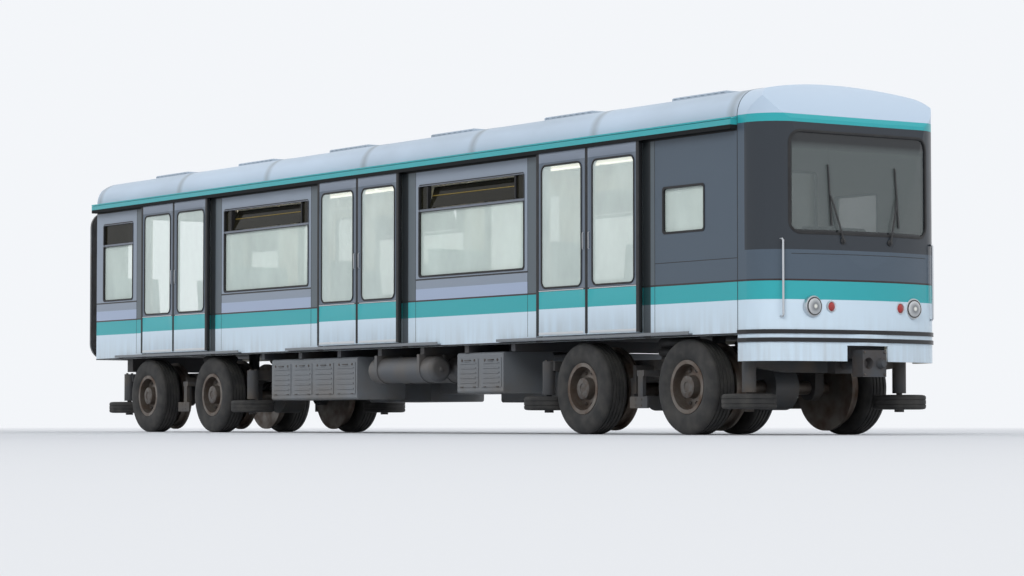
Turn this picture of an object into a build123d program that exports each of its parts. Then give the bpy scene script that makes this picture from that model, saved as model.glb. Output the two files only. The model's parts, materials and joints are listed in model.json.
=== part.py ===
from build123d import *
import math
import os

# Metro car, an end car with a driving cab at +X and an open gangway at -X.
# It stands on eight rubber load tyres. Millimetres, +Z up, running surface at Z = 0,
# X = 0 midway between the gangway's coupling face and the front coupler's face.

# Lengths along the car
CAR_LENGTH = 15400
BELLOWS_LENGTH = 500
COUPLER_REACH = 150
FIRST_DOOR = 2400
LAST_DOOR = 2450
DOOR_COUNT = 3
NOSE_DEPTH = 600
BULKHEAD_PAST_DOOR = 1100

# The body's outline across
BODY_WIDTH = 2300
WALL = 50
SIDE_SKIRT = 140
FLOOR_TOP = 1120
FLOOR_THICK = 100
CANT_OVER_COVER = 35
CANT_RADIUS = 280
ROOF_RISE = 360
ROOF_END_DROP = 180
ROOF_END_RUN = 400
VENT_COUNT = 6
VENT_LENGTH = 900
VENT_INNER = 400
VENT_OUTER = 660
VENT_RISE = 24
VENT_ROUND = 10
VENT_SLOTS = 8
VENT_SLOT = 60
VENT_SLOT_DEEP = 8
VENT_END = 1250
SEAM = 0.3

# The nose
NOSE_CORNER = 380
NOSE_SHOULDER = 500
NOSE_BOTTOM = 720
NOSE_WAIST = 1620
NOSE_RAKE = 130
NOSE_BROW_DROP = 40
NOSE_BROW_BULGE = 52
NOSE_SPARE = 2
RUB_RAILS = (905, 985)
RUB_RAIL_HEIGHT = 40
RUB_RAIL_PROUD = 12

# Side windows and doors
GLASS_SILL = 650
MAIN_LIGHT = 745
BAR_HEIGHT = 35
UPPER_LIGHT = 280
GLASS_THICK = 8
WINDOW_CORNER = 40
BAY_START = 1250
END_WINDOW_START = 1300
END_WINDOW_LENGTH = 900
CAB_WINDOW_START = 1230
CAB_WINDOW_LENGTH = 700
CAB_WINDOW_SILL = 900
CAB_WINDOW_HEIGHT = 480
FRAME_WIDTH = 22
FRAME_PROUD = 6
HOPPER_INSET = 195
HOPPER_TILT = 16

DOOR_OPENING = 1650
DOOR_HEIGHT = 1850
LEAF_WIDTH = 920
LEAF_THICK = 45
LEAF_GAP = 25
LEAF_BELOW_FLOOR = 80
LEAF_LAP = 60
LEAF_MEET = 5
LEAF_GLASS_INSET = 85
LEAF_GLASS_SILL = 505
LEAF_GLASS_HEAD = 165
HANGER_LENGTH = 90
HANGER_SHARES = (0.2, 0.8)
HANGER_THICK = 14
TRACK_REACH = 50
TRACK_THICK = 10
TRACK_CLEAR = 5
COVER_REACH = 85
COVER_THICK = 6
COVER_OVER_LEAF = 55
COVER_LAP = 40
SILL_THICK = 20
SILL_PROUD = 15
LOWER_RAIL_CLEAR = 30
LOWER_RAIL_THICK = 10
LOWER_RAIL_REACH = 55
LOWER_RAIL_LIP = 20
LEAF_STROKE = 800

# Gangway
PORTAL_WIDTH = 1400
PORTAL_HEIGHT = 1850
PORTAL_CORNER = 150
BELLOWS_HALF = 1010
BELLOWS_BELOW_FLOOR = 120
BELLOWS_HEIGHT = 2050
BELLOWS_CORNER = 220
BELLOWS_WALL = 70
BELLOWS_FOLDS = 5
COUPLING_FRAME = 40

# Bogies
BOGIE_INSET = 2375
WHEELBASE = 1800
TYRE_RADIUS = 480
TYRE_WIDTH = 280
TYRE_CROWN = 44
TYRE_TRACK = 1980
RIM_RADIUS = 270
SAFETY_TRACK = 1435
SAFETY_RADIUS = 400
SAFETY_FLANGE = 440
SAFETY_WIDTH = 110
AXLE_RADIUS = 70
WHEEL_BACK = 40
FLANGE_ROOT = 8
SAFETY_RIM = 60
HUB_RISE = 60
DISC_LEAN = 10
RIM_DISC_BACK = 30
RIM_IN = 20
RIM_THICK = 40
RIM_BEVEL = 10
RIM_DISC_FRONT = 20
OUTER_HUB_RISE = 50
OUTER_HUB_OUT = 40
CAP_RISE = 40
CAP_OUT = 110
BEAD_IN = 0.7
GUIDE_RADIUS = 270
GUIDE_WIDTH = 150
GUIDE_CROWN = 34
GUIDE_RIM = 165
GUIDE_BOSS = 62
GUIDE_DISC = 12
GUIDE_HEIGHT = 330
GUIDE_CLEAR = 70
GUIDE_TRACK = 1940
BEAM_TRACK = 1000
BEAM_WIDTH = 110
BEAM_BOTTOM = 620
BEAM_DEEP = 160
PIVOT_RADIUS = 70
AIR_SPRING_RADIUS = 230

# Underframe and what hangs from it
SOLE_TRACK = 1000
SOLE_WIDTH = 120
SOLE_DEEP = 120
SOLE_PAST_BOGIE = 2175
CROSS_PITCH = 950
CROSS_WIDTH = 80
HEADSTOCK_LENGTH = 160
HEADSTOCK_PAST_SEAM = 100
HEADSTOCK_HALF = 700
HEADSTOCK_DEEP = 200
COUPLER_Z = 700
COUPLER_NOTCH = 520
COUPLER_CONE = 60
CONE_Y = 75
CONE_RADIUS = 55
CONE_TAPER = 20
CUP_CLEAR = 3
COUPLER_HEAD_LENGTH = 160
COUPLER_HEAD_HALF = 150
COUPLER_HEAD_RISE = 130
COUPLER_BAR_INTO_HEAD = 60
BRACKET_HALF_LENGTH = 60
BRACKET_HALF_WIDTH = 120
BRACKET_BELOW_BAR = 90
DRAWBAR_RADIUS = 55
FLANGE_RADIUS = 120
FLANGE_THICK = 30
FLANGE_CIRCLE = 90
FLANGE_BOLTS = 6
FLANGE_HOLE = 11
TANK_RADIUS = 150
TANK_DOME = 60
TANK_Y = 640
TANK_PITCH = 350
TANK_DROP = 20
TANK_OVERHANG = 190
STRAP_WIDTH = 50
STRAP_THICK = 8
CASE_INSET = 150
CASE_GAP = 200
CASE_ROUND = 30
CASE_DOOR = 500
CASE_DOOR_MARGIN = 35
CASE_DOOR_PROUD = 8
CASE_SLATS = 5
CASE_SLAT = 14
CASE_SLAT_PROUD = 16
JACK_PAD = 150
JACK_PAD_THICK = 20
JACK_PAD_Y = 500

# Cab and saloon
SCREEN_WIDTH = 1760
SCREEN_SILL = 840
SCREEN_HEIGHT = 1000
SCREEN_CORNER = 120
SCREEN_RECESS = 12.5
SCREEN_THICK = 16
LAMP_Y = 640
LAMP_Z = 1250
LAMP_RADIUS = 90
LAMP_DEEP = 190
LAMP_FRONT = 45
BULKHEAD_THICK = 40
BULKHEAD_WINDOW_Y = 720
BULKHEAD_WINDOW_WIDTH = 440
BULKHEAD_WINDOW_SILL = 880
BULKHEAD_WINDOW_HEIGHT = 750
CAB_DOOR_WIDTH = 620
CAB_DOOR_HEIGHT = 1850
CAB_DOOR_GAP = 8
HINGE_RADIUS = 9
HINGE_OUT = 10
HINGE_LENGTH = 100
HINGE_PLATE = 24
HINGES_OVER_FLOOR = (330, 1580)
CAB_DOOR_GLASS_MIDDLE = 1280
CAB_DOOR_GLASS_HEIGHT = 500
CAB_DOOR_GLASS_INSET = 100
DESK_DEEP = 850
DESK_HEIGHT = 830
DESK_FRONT = 160
DESK_SLOPE = 60
DESK_LEDGE = 180
DESK_KNEES = 320
DESK_HALF = 950
DESK_CLEAR = 40
HOOD_HALF = 360
HOOD_RISE = 110
HOOD_START = 230
HOOD_LENGTH = 200
SEAT_FROM_DESK = 420
SEAT_WIDTH = 460
SEAT_HEIGHT = 430
SEAT_PAD = 90
SEAT_BACK = 500
SEAT_POST = 60
CEILING_DROP = 20
CEILING_THICK = 15
LAMP_TRACK = 1100
LAMP_WIDTH = 220
LAMP_DEPTH = 30
LAMP_GAP = 60
BENCH_WIDTH = 780
BENCH_CLEAR = 10
BENCH_APART = 880
BENCH_FROM_END = 250
BENCH_ROUND = 11
BENCH_LEG = 60
BENCH_LEG_HEIGHT = 398
BENCH_LEG_START = 60
BENCH_LEG_LENGTH = 280
BENCH_FOOT_IN = 120
POLE_Y = 350
POLE_RADIUS = 17
BELLOWS_DEPTH = 45
FOOTPLATE = 12

# Bogie details
BOLSTER_LENGTH = 360
BEAM_BELLY = 40
BEAM_BELLY_HALF = 400
BEAM_SLIM = 110
BEAM_SLOPE = 100
BEAM_ROUND = 25
BEAM_HOLE_X = 620
BEAM_HOLE = 42
END_BEAM_SLIM = 100
AXLE_BOX = 130
PIVOT_LOW = 20
SPINDLE_RADIUS = 30
SPINDLE_BOSS = 70
SPINDLE_SHOULDER = 15
SPINDLE_NUT = 25
SPINDLE_NUT_RADIUS = 49
GEAR_RADIUS = 230
GEAR_WIDTH = 300
MOTOR_RADIUS = 190
MOTOR_GAP = 20
MOTOR_BANDS = (0.06, 0.36, 0.66, 0.90)
MOTOR_BAND = 26
MOTOR_BAND_PROUD = 12
MOTOR_HOLD = 140
MOTOR_HOLD_LENGTH = 120
TERMINAL_HALF = 110
TERMINAL_RISE = 45
BEARING_CLEAR = 5
SPRING_PLATE = 200
SPRING_PLATE_THICK = 20
SPRING_NECK = 180
BRAKE_CLEAR = 12
BRAKE_THICK = 45
BRAKE_WIDTH = 60
BRAKE_HALF_HEIGHT = 110
BRAKE_HANGER = 48
BRAKE_LINK_TOP = 60
COLLECTOR_REACH = 1020
COLLECTOR_ARM = 60
COLLECTOR_POST = 40
COLLECTOR_SHOE = 150
COLLECTOR_SHOE_THICK = 25

# Where the driving heights put things
FLOOR_UNDER = FLOOR_TOP - FLOOR_THICK
LEAF_BOTTOM = FLOOR_TOP - LEAF_BELOW_FLOOR
LEAF_TOP = FLOOR_TOP + DOOR_HEIGHT + LEAF_LAP
LEAF_GLASS_BOTTOM = LEAF_BOTTOM + LEAF_GLASS_SILL
LEAF_GLASS_TOP = LEAF_TOP - LEAF_GLASS_HEAD
COVER_TOP = LEAF_TOP + COVER_OVER_LEAF
COVER_BOTTOM = LEAF_TOP - COVER_LAP
LOWER_RAIL_TOP = LEAF_BOTTOM - LOWER_RAIL_CLEAR
SIDE_BOTTOM = FLOOR_TOP - SIDE_SKIRT
CANT_HEIGHT = COVER_TOP + CANT_OVER_COVER
ROOF_TOP = CANT_HEIGHT + ROOF_RISE
CEILING = CANT_HEIGHT - CEILING_DROP
NOSE_BROW = CANT_HEIGHT - NOSE_BROW_DROP
GLASS_BOTTOM = FLOOR_TOP + GLASS_SILL
BAR_BOTTOM = GLASS_BOTTOM + MAIN_LIGHT
BAR_TOP = BAR_BOTTOM + BAR_HEIGHT
GLASS_TOP = BAR_TOP + UPPER_LIGHT
CAB_WINDOW_BOTTOM = FLOOR_TOP + CAB_WINDOW_SILL
CAB_WINDOW_TOP = CAB_WINDOW_BOTTOM + CAB_WINDOW_HEIGHT
SCREEN_BOTTOM = FLOOR_TOP + SCREEN_SILL
SCREEN_TOP = SCREEN_BOTTOM + SCREEN_HEIGHT
BULKHEAD_WINDOW_BOTTOM = FLOOR_TOP + BULKHEAD_WINDOW_SILL
BULKHEAD_WINDOW_TOP = BULKHEAD_WINDOW_BOTTOM + BULKHEAD_WINDOW_HEIGHT
CAB_DOOR_GLASS = FLOOR_TOP + CAB_DOOR_GLASS_MIDDLE
HINGE_HEIGHTS = [FLOOR_TOP + up for up in HINGES_OVER_FLOOR]
DESK_TOP = FLOOR_TOP + DESK_HEIGHT
BELLOWS_BOTTOM = FLOOR_TOP - BELLOWS_BELOW_FLOOR
BELLOWS_TOP = BELLOWS_BOTTOM + BELLOWS_HEIGHT
SOLE_BOTTOM = FLOOR_UNDER - SOLE_DEEP
HEADSTOCK_BOTTOM = FLOOR_UNDER - HEADSTOCK_DEEP
BEAM_TOP = BEAM_BOTTOM + BEAM_DEEP

# Where the driving lengths put things
HALF_WIDTH = BODY_WIDTH / 2
GANGWAY_FACE = -CAR_LENGTH / 2 + BELLOWS_LENGTH
NOSE_FACE = CAR_LENGTH / 2 - COUPLER_REACH
NOSE_SEAM = NOSE_FACE - NOSE_DEPTH
DOOR_PITCH = (NOSE_SEAM - LAST_DOOR - GANGWAY_FACE - FIRST_DOOR) / (DOOR_COUNT - 1)
DOORS = [GANGWAY_FACE + FIRST_DOOR + i * DOOR_PITCH for i in range(DOOR_COUNT)]
BAY_LENGTH = DOOR_PITCH - 2 * BAY_START
BOGIES = {"rear": GANGWAY_FACE + BOGIE_INSET, "front": NOSE_FACE - BOGIE_INSET}
GUIDE_SPAN = WHEELBASE + 2 * (TYRE_RADIUS + GUIDE_RADIUS + GUIDE_CLEAR)
BULKHEAD = DOORS[-1] + BULKHEAD_PAST_DOOR
FRONT_HEADSTOCK = NOSE_SEAM + HEADSTOCK_PAST_SEAM
SOLE_START = BOGIES["rear"] + SOLE_PAST_BOGIE
SOLE_END = BOGIES["front"] - SOLE_PAST_BOGIE
CROSS_COUNT = round((SOLE_END - SOLE_START) / CROSS_PITCH) + 1
CROSS_STEP = (SOLE_END - SOLE_START - CROSS_WIDTH) / (CROSS_COUNT - 1)
CROSS_MEMBERS = [SOLE_START + i * CROSS_STEP for i in range(CROSS_COUNT)]


def block(x0, x1, y0, y1, z0, z1):
    """A box given by its two corners."""
    middle = Pos((x0 + x1) / 2, (y0 + y1) / 2, (z0 + z1) / 2)
    return middle * Box(abs(x1 - x0), abs(y1 - y0), abs(z1 - z0))


def rod(start, end, radius):
    """A round bar between two points."""
    line = Vector(*end) - Vector(*start)
    return extrude(Plane(origin=start, z_dir=line) * Circle(radius), amount=line.length)


def across(shape):
    """The same shape on the other side of the car."""
    return mirror(shape, about=Plane.XZ)


def rounded_slab(plane, width, height, corner, thick):
    """A plate with rounded corners, centred on the plane and thick along its normal."""
    return extrude(plane * RectangleRounded(width, height, corner), amount=thick)


def crowned_face(half, shoulder, top, corner, inset, base):
    """An outline with straight flanks, two round corners and a crowned top that meet smoothly.

    Its first coordinate runs across, its second towards the top; inset moves it all inwards.
    """
    rise = top - shoulder
    side = half - corner
    crown = (side**2 + rise**2 - corner**2) / (2 * (rise - corner))
    centre = top - crown
    lean = math.atan2(side, shoulder - centre)
    join = ((crown - inset) * math.sin(lean), centre + (crown - inset) * math.cos(lean))
    turn = (math.pi / 2 - lean) / 2
    bend = (side + (corner - inset) * math.cos(turn), shoulder + (corner - inset) * math.sin(turn))
    flank = half - inset
    outline = [
        Line((-flank, base), (flank, base)),
        Line((flank, base), (flank, shoulder)),
        ThreePointArc((flank, shoulder), bend, join),
        ThreePointArc(join, (0, top - inset), (-join[0], join[1])),
        ThreePointArc((-join[0], join[1]), (-bend[0], bend[1]), (-flank, shoulder)),
        Line((-flank, shoulder), (-flank, base)),
    ]
    return make_face(Curve() + outline)


def body_section(inset, base):
    """The body's outline across, walls and roof, seen along X."""
    return Plane.YZ * crowned_face(HALF_WIDTH, CANT_HEIGHT, ROOF_TOP, CANT_RADIUS, inset, base)


def body_tube(inset, base, x0, x1):
    """That outline carried along the car."""
    return Pos(x0, 0, 0) * extrude(body_section(inset, base), amount=x1 - x0)


def roof_end(inset, x_end):
    """What lies under the roof line, which curves down over the gangway's end."""
    start = GANGWAY_FACE + ROOF_END_RUN
    radius = (ROOF_END_RUN**2 + ROOF_END_DROP**2) / (2 * ROOF_END_DROP)
    centre = ROOF_TOP - radius
    run = start - x_end
    low = centre + math.sqrt((radius - inset) ** 2 - run**2)
    half_turn = math.asin(run / (radius - inset)) / 2
    bend = (start - (radius - inset) * math.sin(half_turn),
            centre + (radius - inset) * math.cos(half_turn))
    outline = [
        Line((x_end, 0), (x_end, low)),
        ThreePointArc((x_end, low), bend, (start, ROOF_TOP - inset)),
        Line((start, ROOF_TOP - inset), (NOSE_FACE, ROOF_TOP - inset)),
        Line((NOSE_FACE, ROOF_TOP - inset), (NOSE_FACE, 0)),
        Line((NOSE_FACE, 0), (x_end, 0)),
    ]
    side = Plane.XZ * make_face(Curve() + outline)
    return Pos(0, HALF_WIDTH + WALL, 0) * extrude(side, amount=BODY_WIDTH + 2 * WALL)


def nose_form(inset, base, back):
    """The cab's outer form: the body's section, rounded in plan and raked above the waist."""
    plan = crowned_face(HALF_WIDTH + NOSE_SPARE, NOSE_FACE - NOSE_SHOULDER, NOSE_FACE, NOSE_CORNER,
                        inset, back)
    plan = Plane(origin=(0, 0, base), x_dir=(0, -1, 0), z_dir=(0, 0, 1)) * plan
    upright = extrude(plan, amount=ROOF_TOP)
    face = NOSE_FACE - inset
    brow = face - NOSE_RAKE
    top = ROOF_TOP + WALL - inset
    middle = ((back + brow) / 2, (NOSE_BROW + top) / 2)
    chord = math.hypot(brow - back, top - NOSE_BROW)
    bend = (middle[0] + NOSE_BROW_BULGE * (top - NOSE_BROW) / chord,
            middle[1] + NOSE_BROW_BULGE * (brow - back) / chord)
    outline = [
        Line((back, base), (face, base)),
        Line((face, base), (face, NOSE_WAIST)),
        Line((face, NOSE_WAIST), (brow, NOSE_BROW)),
        ThreePointArc((brow, NOSE_BROW), bend, (back, top)),
        Line((back, top), (back, base)),
    ]
    side = Plane.XZ * make_face(Curve() + outline)
    side = Pos(0, HALF_WIDTH + WALL, 0) * extrude(side, amount=BODY_WIDTH + 2 * WALL)
    return body_tube(inset, base, back, NOSE_FACE) & upright & side


# Body panels

# Side windows: start along the car, length, bottom, top, kind of its upper light
WINDOWS = [(DOORS[0] - END_WINDOW_START - END_WINDOW_LENGTH, END_WINDOW_LENGTH,
            GLASS_BOTTOM, GLASS_TOP, "shut")]
WINDOWS += [(door + BAY_START, BAY_LENGTH, GLASS_BOTTOM, GLASS_TOP, "open") for door in DOORS[:-1]]
WINDOWS += [(DOORS[-1] + CAB_WINDOW_START, CAB_WINDOW_LENGTH, CAB_WINDOW_BOTTOM, CAB_WINDOW_TOP, "none")]


def through_side(start, length, bottom, top, corner, deep=3 * WALL):
    """A rounded opening's form, centred on the right side wall."""
    plane = Plane(origin=(start + length / 2, -HALF_WIDTH + WALL / 2 + deep / 2, (bottom + top) / 2),
                  x_dir=(1, 0, 0), z_dir=(0, -1, 0))
    return rounded_slab(plane, length, top - bottom, corner, deep)


def side_wall():
    """The right side: one plate with its doorways and windows cut."""
    wall = block(GANGWAY_FACE, NOSE_SEAM, -HALF_WIDTH, -HALF_WIDTH + WALL, SIDE_BOTTOM, CANT_HEIGHT)
    for door in DOORS:
        wall -= through_side(door - DOOR_OPENING / 2, DOOR_OPENING, FLOOR_TOP - SILL_THICK,
                             FLOOR_TOP + DOOR_HEIGHT, WINDOW_CORNER)
    for start, length, bottom, top, light in WINDOWS:
        wall -= through_side(start, length, bottom, top, WINDOW_CORNER)
    return wall


def window_frames():
    """The right side's rubber frames, each with the bar under its upper light."""
    frames = []
    for start, length, bottom, top, light in WINDOWS:
        gap = SEAM
        outer = through_side(start + gap, length - 2 * gap, bottom + gap, top - gap,
                             WINDOW_CORNER - gap, WALL + 2 * FRAME_PROUD)
        inner = through_side(start + FRAME_WIDTH, length - 2 * FRAME_WIDTH, bottom + FRAME_WIDTH,
                             top - FRAME_WIDTH, WINDOW_CORNER - FRAME_WIDTH / 2)
        frame = outer - inner
        if light != "none":
            frame += block(start + FRAME_WIDTH / 2, start + length - FRAME_WIDTH / 2,
                           -HALF_WIDTH, -HALF_WIDTH + WALL, BAR_BOTTOM, BAR_TOP)
        if light == "open":
            for x in (start + HOPPER_INSET - FRAME_WIDTH, start + length - HOPPER_INSET):
                frame += block(x, x + FRAME_WIDTH, -HALF_WIDTH, -HALF_WIDTH + WALL,
                               BAR_BOTTOM, top - FRAME_WIDTH / 2)
        frames.append(frame)
    return frames


def pane(start, length, bottom, top):
    """One flat pane in the middle of the right side wall."""
    deep = -HALF_WIDTH + WALL / 2
    return block(start, start + length, deep - GLASS_THICK / 2, deep + GLASS_THICK / 2, bottom, top)


def within_frame(window, piece):
    """What of a pane lies inside its frame's rounded opening."""
    start, length, bottom, top, light = window
    edge = FRAME_WIDTH + SEAM
    return piece & through_side(start + edge, length - 2 * edge, bottom + edge, top - edge,
                                WINDOW_CORNER - FRAME_WIDTH / 2 - SEAM)


def side_panes():
    """The right side's glass; the open upper lights lean in from their lower edge."""
    edge = FRAME_WIDTH + SEAM
    panes = []
    for window in WINDOWS:
        start, length, bottom, top, light = window
        low_top = BAR_BOTTOM - SEAM if light != "none" else top - edge
        flat = [pane(start, length, bottom, low_top)]
        if light == "shut":
            flat.append(pane(start, length, BAR_TOP + SEAM, top))
        if light == "open":
            ends = HOPPER_INSET - FRAME_WIDTH - SEAM
            flat.append(pane(start, ends, BAR_TOP + SEAM, top))
            flat.append(pane(start + length - ends, ends, BAR_TOP + SEAM, top))
        panes += [within_frame(window, piece) for piece in flat]
        if light == "open":
            hinge = Axis((0, -HALF_WIDTH + WALL / 2, BAR_TOP + SEAM + GLASS_THICK), (1, 0, 0))
            light_pane = pane(start + HOPPER_INSET + SEAM, length - 2 * (HOPPER_INSET + SEAM),
                              BAR_TOP + SEAM + GLASS_THICK, top - edge)
            panes.append(light_pane.rotate(hinge, -HOPPER_TILT))
    return panes


def cant_rail():
    """The right side's door track: a ledge that carries the leaves, under a long cover."""
    side = -HALF_WIDTH
    track_top = LEAF_TOP + TRACK_CLEAR + TRACK_THICK
    rail = block(GANGWAY_FACE, NOSE_SEAM, side - TRACK_REACH, side, LEAF_TOP + TRACK_CLEAR, track_top)
    rail += block(GANGWAY_FACE, NOSE_SEAM, side - COVER_REACH, side, COVER_TOP - COVER_THICK, COVER_TOP)
    rail += block(GANGWAY_FACE, NOSE_SEAM, side - COVER_REACH, side - COVER_REACH + COVER_THICK,
                  COVER_BOTTOM, COVER_TOP)
    rail += block(GANGWAY_FACE, NOSE_SEAM, side - COVER_THICK, side, LEAF_TOP, COVER_TOP)
    return rail


def lower_rails():
    """The right side's lower guides: a ledge with an upturned lip under each doorway's leaves."""
    side = -HALF_WIDTH
    reach = LEAF_MEET + LEAF_WIDTH + LEAF_STROKE
    rails = []
    for door in DOORS:
        rail = block(door - reach, door + reach, side - LOWER_RAIL_REACH, side,
                     LOWER_RAIL_TOP - LOWER_RAIL_THICK, LOWER_RAIL_TOP)
        rail += block(door - reach, door + reach, side - LOWER_RAIL_REACH,
                      side - LOWER_RAIL_REACH + LOWER_RAIL_THICK,
                      LOWER_RAIL_TOP, LOWER_RAIL_TOP + LOWER_RAIL_LIP)
        rails.append(rail)
    return rails


def roof():
    """The roof shell, rounded down at the gangway end."""
    past = WALL / 5
    outer = body_tube(0, CANT_HEIGHT - past, GANGWAY_FACE, NOSE_SEAM) & roof_end(0, GANGWAY_FACE)
    outer &= block(GANGWAY_FACE, NOSE_SEAM, -HALF_WIDTH, HALF_WIDTH, CANT_HEIGHT, ROOF_TOP)
    inner = body_tube(WALL, CANT_HEIGHT - past, GANGWAY_FACE - past, NOSE_SEAM + past)
    shell = outer - (inner & roof_end(WALL, GANGWAY_FACE - past))
    for vent in roof_vents():
        shell += vent
    return shell


def crown_at(y):
    """The roof's height at a distance from the middle, on the crown's own circle."""
    side = HALF_WIDTH - CANT_RADIUS
    rise = ROOF_TOP - CANT_HEIGHT
    crown = (side**2 + rise**2 - CANT_RADIUS**2) / (2 * (rise - CANT_RADIUS))
    return ROOF_TOP - crown + math.sqrt(crown**2 - y**2)


def roof_vents():
    """Low ventilator covers either side of the crown, each with a row of slots cut in its outer edge."""
    first = GANGWAY_FACE + VENT_END
    step = (NOSE_SEAM - VENT_END - first) / (VENT_COUNT - 1)
    middle = (VENT_INNER + VENT_OUTER) / 2
    low = crown_at(VENT_OUTER) - VENT_RISE
    top = crown_at(middle) + VENT_RISE
    pitch = VENT_LENGTH / VENT_SLOTS
    covers = []
    for i in range(VENT_COUNT):
        x = first + i * step
        cover = block(x - VENT_LENGTH / 2, x + VENT_LENGTH / 2, VENT_INNER, VENT_OUTER, low, top)
        cover = chamfer(cover.faces().sort_by(Axis.Z)[-1].edges(), VENT_ROUND)
        for k in range(VENT_SLOTS):
            at = x - VENT_LENGTH / 2 + (k + 0.5) * pitch
            cover -= block(at - VENT_SLOT / 2, at + VENT_SLOT / 2, VENT_OUTER - VENT_SLOT_DEEP,
                           VENT_OUTER + VENT_SLOT_DEEP, top - VENT_RISE, top - VENT_RISE + VENT_SLOT_DEEP)
        covers += [cover, across(cover)]
    return covers


def end_wall():
    """The gangway end, with its wide portal."""
    inset = WALL + SEAM
    wall = body_tube(inset, SIDE_BOTTOM, GANGWAY_FACE, GANGWAY_FACE + WALL)
    wall &= roof_end(inset, GANGWAY_FACE - SEAM)
    centre = FLOOR_TOP + PORTAL_HEIGHT / 2
    plane = Plane(origin=(GANGWAY_FACE - WALL, 0, centre), x_dir=(0, 1, 0), z_dir=(1, 0, 0))
    return wall - rounded_slab(plane, PORTAL_WIDTH, PORTAL_HEIGHT, PORTAL_CORNER, 3 * WALL)


def underframe():
    """Floor, sole bars, cross members, headstocks and the two bogie pivots."""
    start = GANGWAY_FACE + WALL
    half = HALF_WIDTH - WALL
    floor = block(start, NOSE_SEAM, -half, half, FLOOR_UNDER, FLOOR_TOP)
    tip = nose_form(WALL + SEAM, NOSE_BOTTOM, NOSE_SEAM)
    floor += tip & block(NOSE_SEAM, NOSE_FACE, -half, half, FLOOR_UNDER, FLOOR_TOP)
    for y in (-SOLE_TRACK / 2, SOLE_TRACK / 2):
        floor += block(SOLE_START, SOLE_END, y - SOLE_WIDTH / 2, y + SOLE_WIDTH / 2,
                       SOLE_BOTTOM, FLOOR_UNDER)
    for x in CROSS_MEMBERS:
        floor += block(x, x + CROSS_WIDTH, -half, half, SOLE_BOTTOM, FLOOR_UNDER)
    for x in (GANGWAY_FACE + WALL, FRONT_HEADSTOCK):
        floor += block(x, x + HEADSTOCK_LENGTH, -HEADSTOCK_HALF, HEADSTOCK_HALF,
                       HEADSTOCK_BOTTOM, FLOOR_UNDER)
        for y in (-JACK_PAD_Y, JACK_PAD_Y):
            middle = x + HEADSTOCK_LENGTH / 2
            floor += block(middle - JACK_PAD / 2, middle + JACK_PAD / 2, y - JACK_PAD / 2, y + JACK_PAD / 2,
                           HEADSTOCK_BOTTOM - JACK_PAD_THICK, HEADSTOCK_BOTTOM)
    for x in BOGIES.values():
        floor += rod((x, 0, FLOOR_UNDER), (x, 0, BEAM_BOTTOM + PIVOT_LOW), PIVOT_RADIUS)
    length = DOOR_OPENING / 2 - WINDOW_CORNER
    for door in DOORS:
        for side in (-1, 1):
            floor += block(door - length, door + length, side * (half - WALL),
                           side * (HALF_WIDTH + SILL_PROUD), FLOOR_TOP - SILL_THICK, FLOOR_TOP)
    return floor


def ceiling():
    """The flat saloon ceiling, resting between the side walls."""
    half = HALF_WIDTH - WALL
    return block(GANGWAY_FACE + WALL, BULKHEAD, -half, half, CEILING, CEILING + CEILING_THICK)


def ceiling_lamps():
    """Two long rows of lamps under the ceiling."""
    lamps = []
    for y in (-LAMP_TRACK / 2, LAMP_TRACK / 2):
        for i, door in enumerate(DOORS):
            first = GANGWAY_FACE + 2 * WALL if i == 0 else DOORS[i - 1] + DOOR_PITCH / 2 + LAMP_GAP
            last = BULKHEAD - 2 * WALL if i == len(DOORS) - 1 else door + DOOR_PITCH / 2 - LAMP_GAP
            lamps.append(block(first, last, y - LAMP_WIDTH / 2, y + LAMP_WIDTH / 2,
                               CEILING - LAMP_DEPTH, CEILING))
    return lamps


# Nose and cab


def cab_front():
    """The nose shell: windscreen, lamp holes and a notch for the coupler are cut."""
    shell = nose_form(0, NOSE_BOTTOM, NOSE_SEAM)
    past = WALL / 5
    shell -= nose_form(WALL, NOSE_BOTTOM - past, NOSE_SEAM - past)
    shell -= screen_form(0)
    for side in (-1, 1):
        shell -= rod((NOSE_FACE - NOSE_DEPTH / 2, side * LAMP_Y, LAMP_Z),
                     (NOSE_FACE + WALL, side * LAMP_Y, LAMP_Z), LAMP_RADIUS + SEAM)
    notch_top = COUPLER_Z + COUPLER_NOTCH / 3
    shell -= block(NOSE_FACE - NOSE_DEPTH / 2, NOSE_FACE + WALL, -COUPLER_NOTCH / 2, COUPLER_NOTCH / 2,
                   NOSE_BOTTOM - WALL, notch_top)
    for low in RUB_RAILS:
        shell += rub_rail(low)
    return shell


def rub_rail(low):
    """A rail that follows the nose in plan and stands a little proud of it."""
    inside = WALL / 2
    rail = nose_form(-RUB_RAIL_PROUD, NOSE_BOTTOM, NOSE_SEAM + SEAM)
    rail -= nose_form(inside, NOSE_BOTTOM - WALL, NOSE_SEAM - WALL)
    return rail & block(NOSE_SEAM, NOSE_FACE + WALL, -HALF_WIDTH - WALL, HALF_WIDTH + WALL,
                        low, low + RUB_RAIL_HEIGHT)


def screen_form(gap):
    """The windscreen's opening, as a bar through the nose."""
    plane = Plane(origin=(NOSE_FACE - NOSE_DEPTH + WALL, 0, (SCREEN_BOTTOM + SCREEN_TOP) / 2),
                  x_dir=(0, 1, 0), z_dir=(1, 0, 0))
    return rounded_slab(plane, SCREEN_WIDTH - 2 * gap, SCREEN_TOP - SCREEN_BOTTOM - 2 * gap,
                        SCREEN_CORNER - gap, NOSE_DEPTH)


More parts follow.
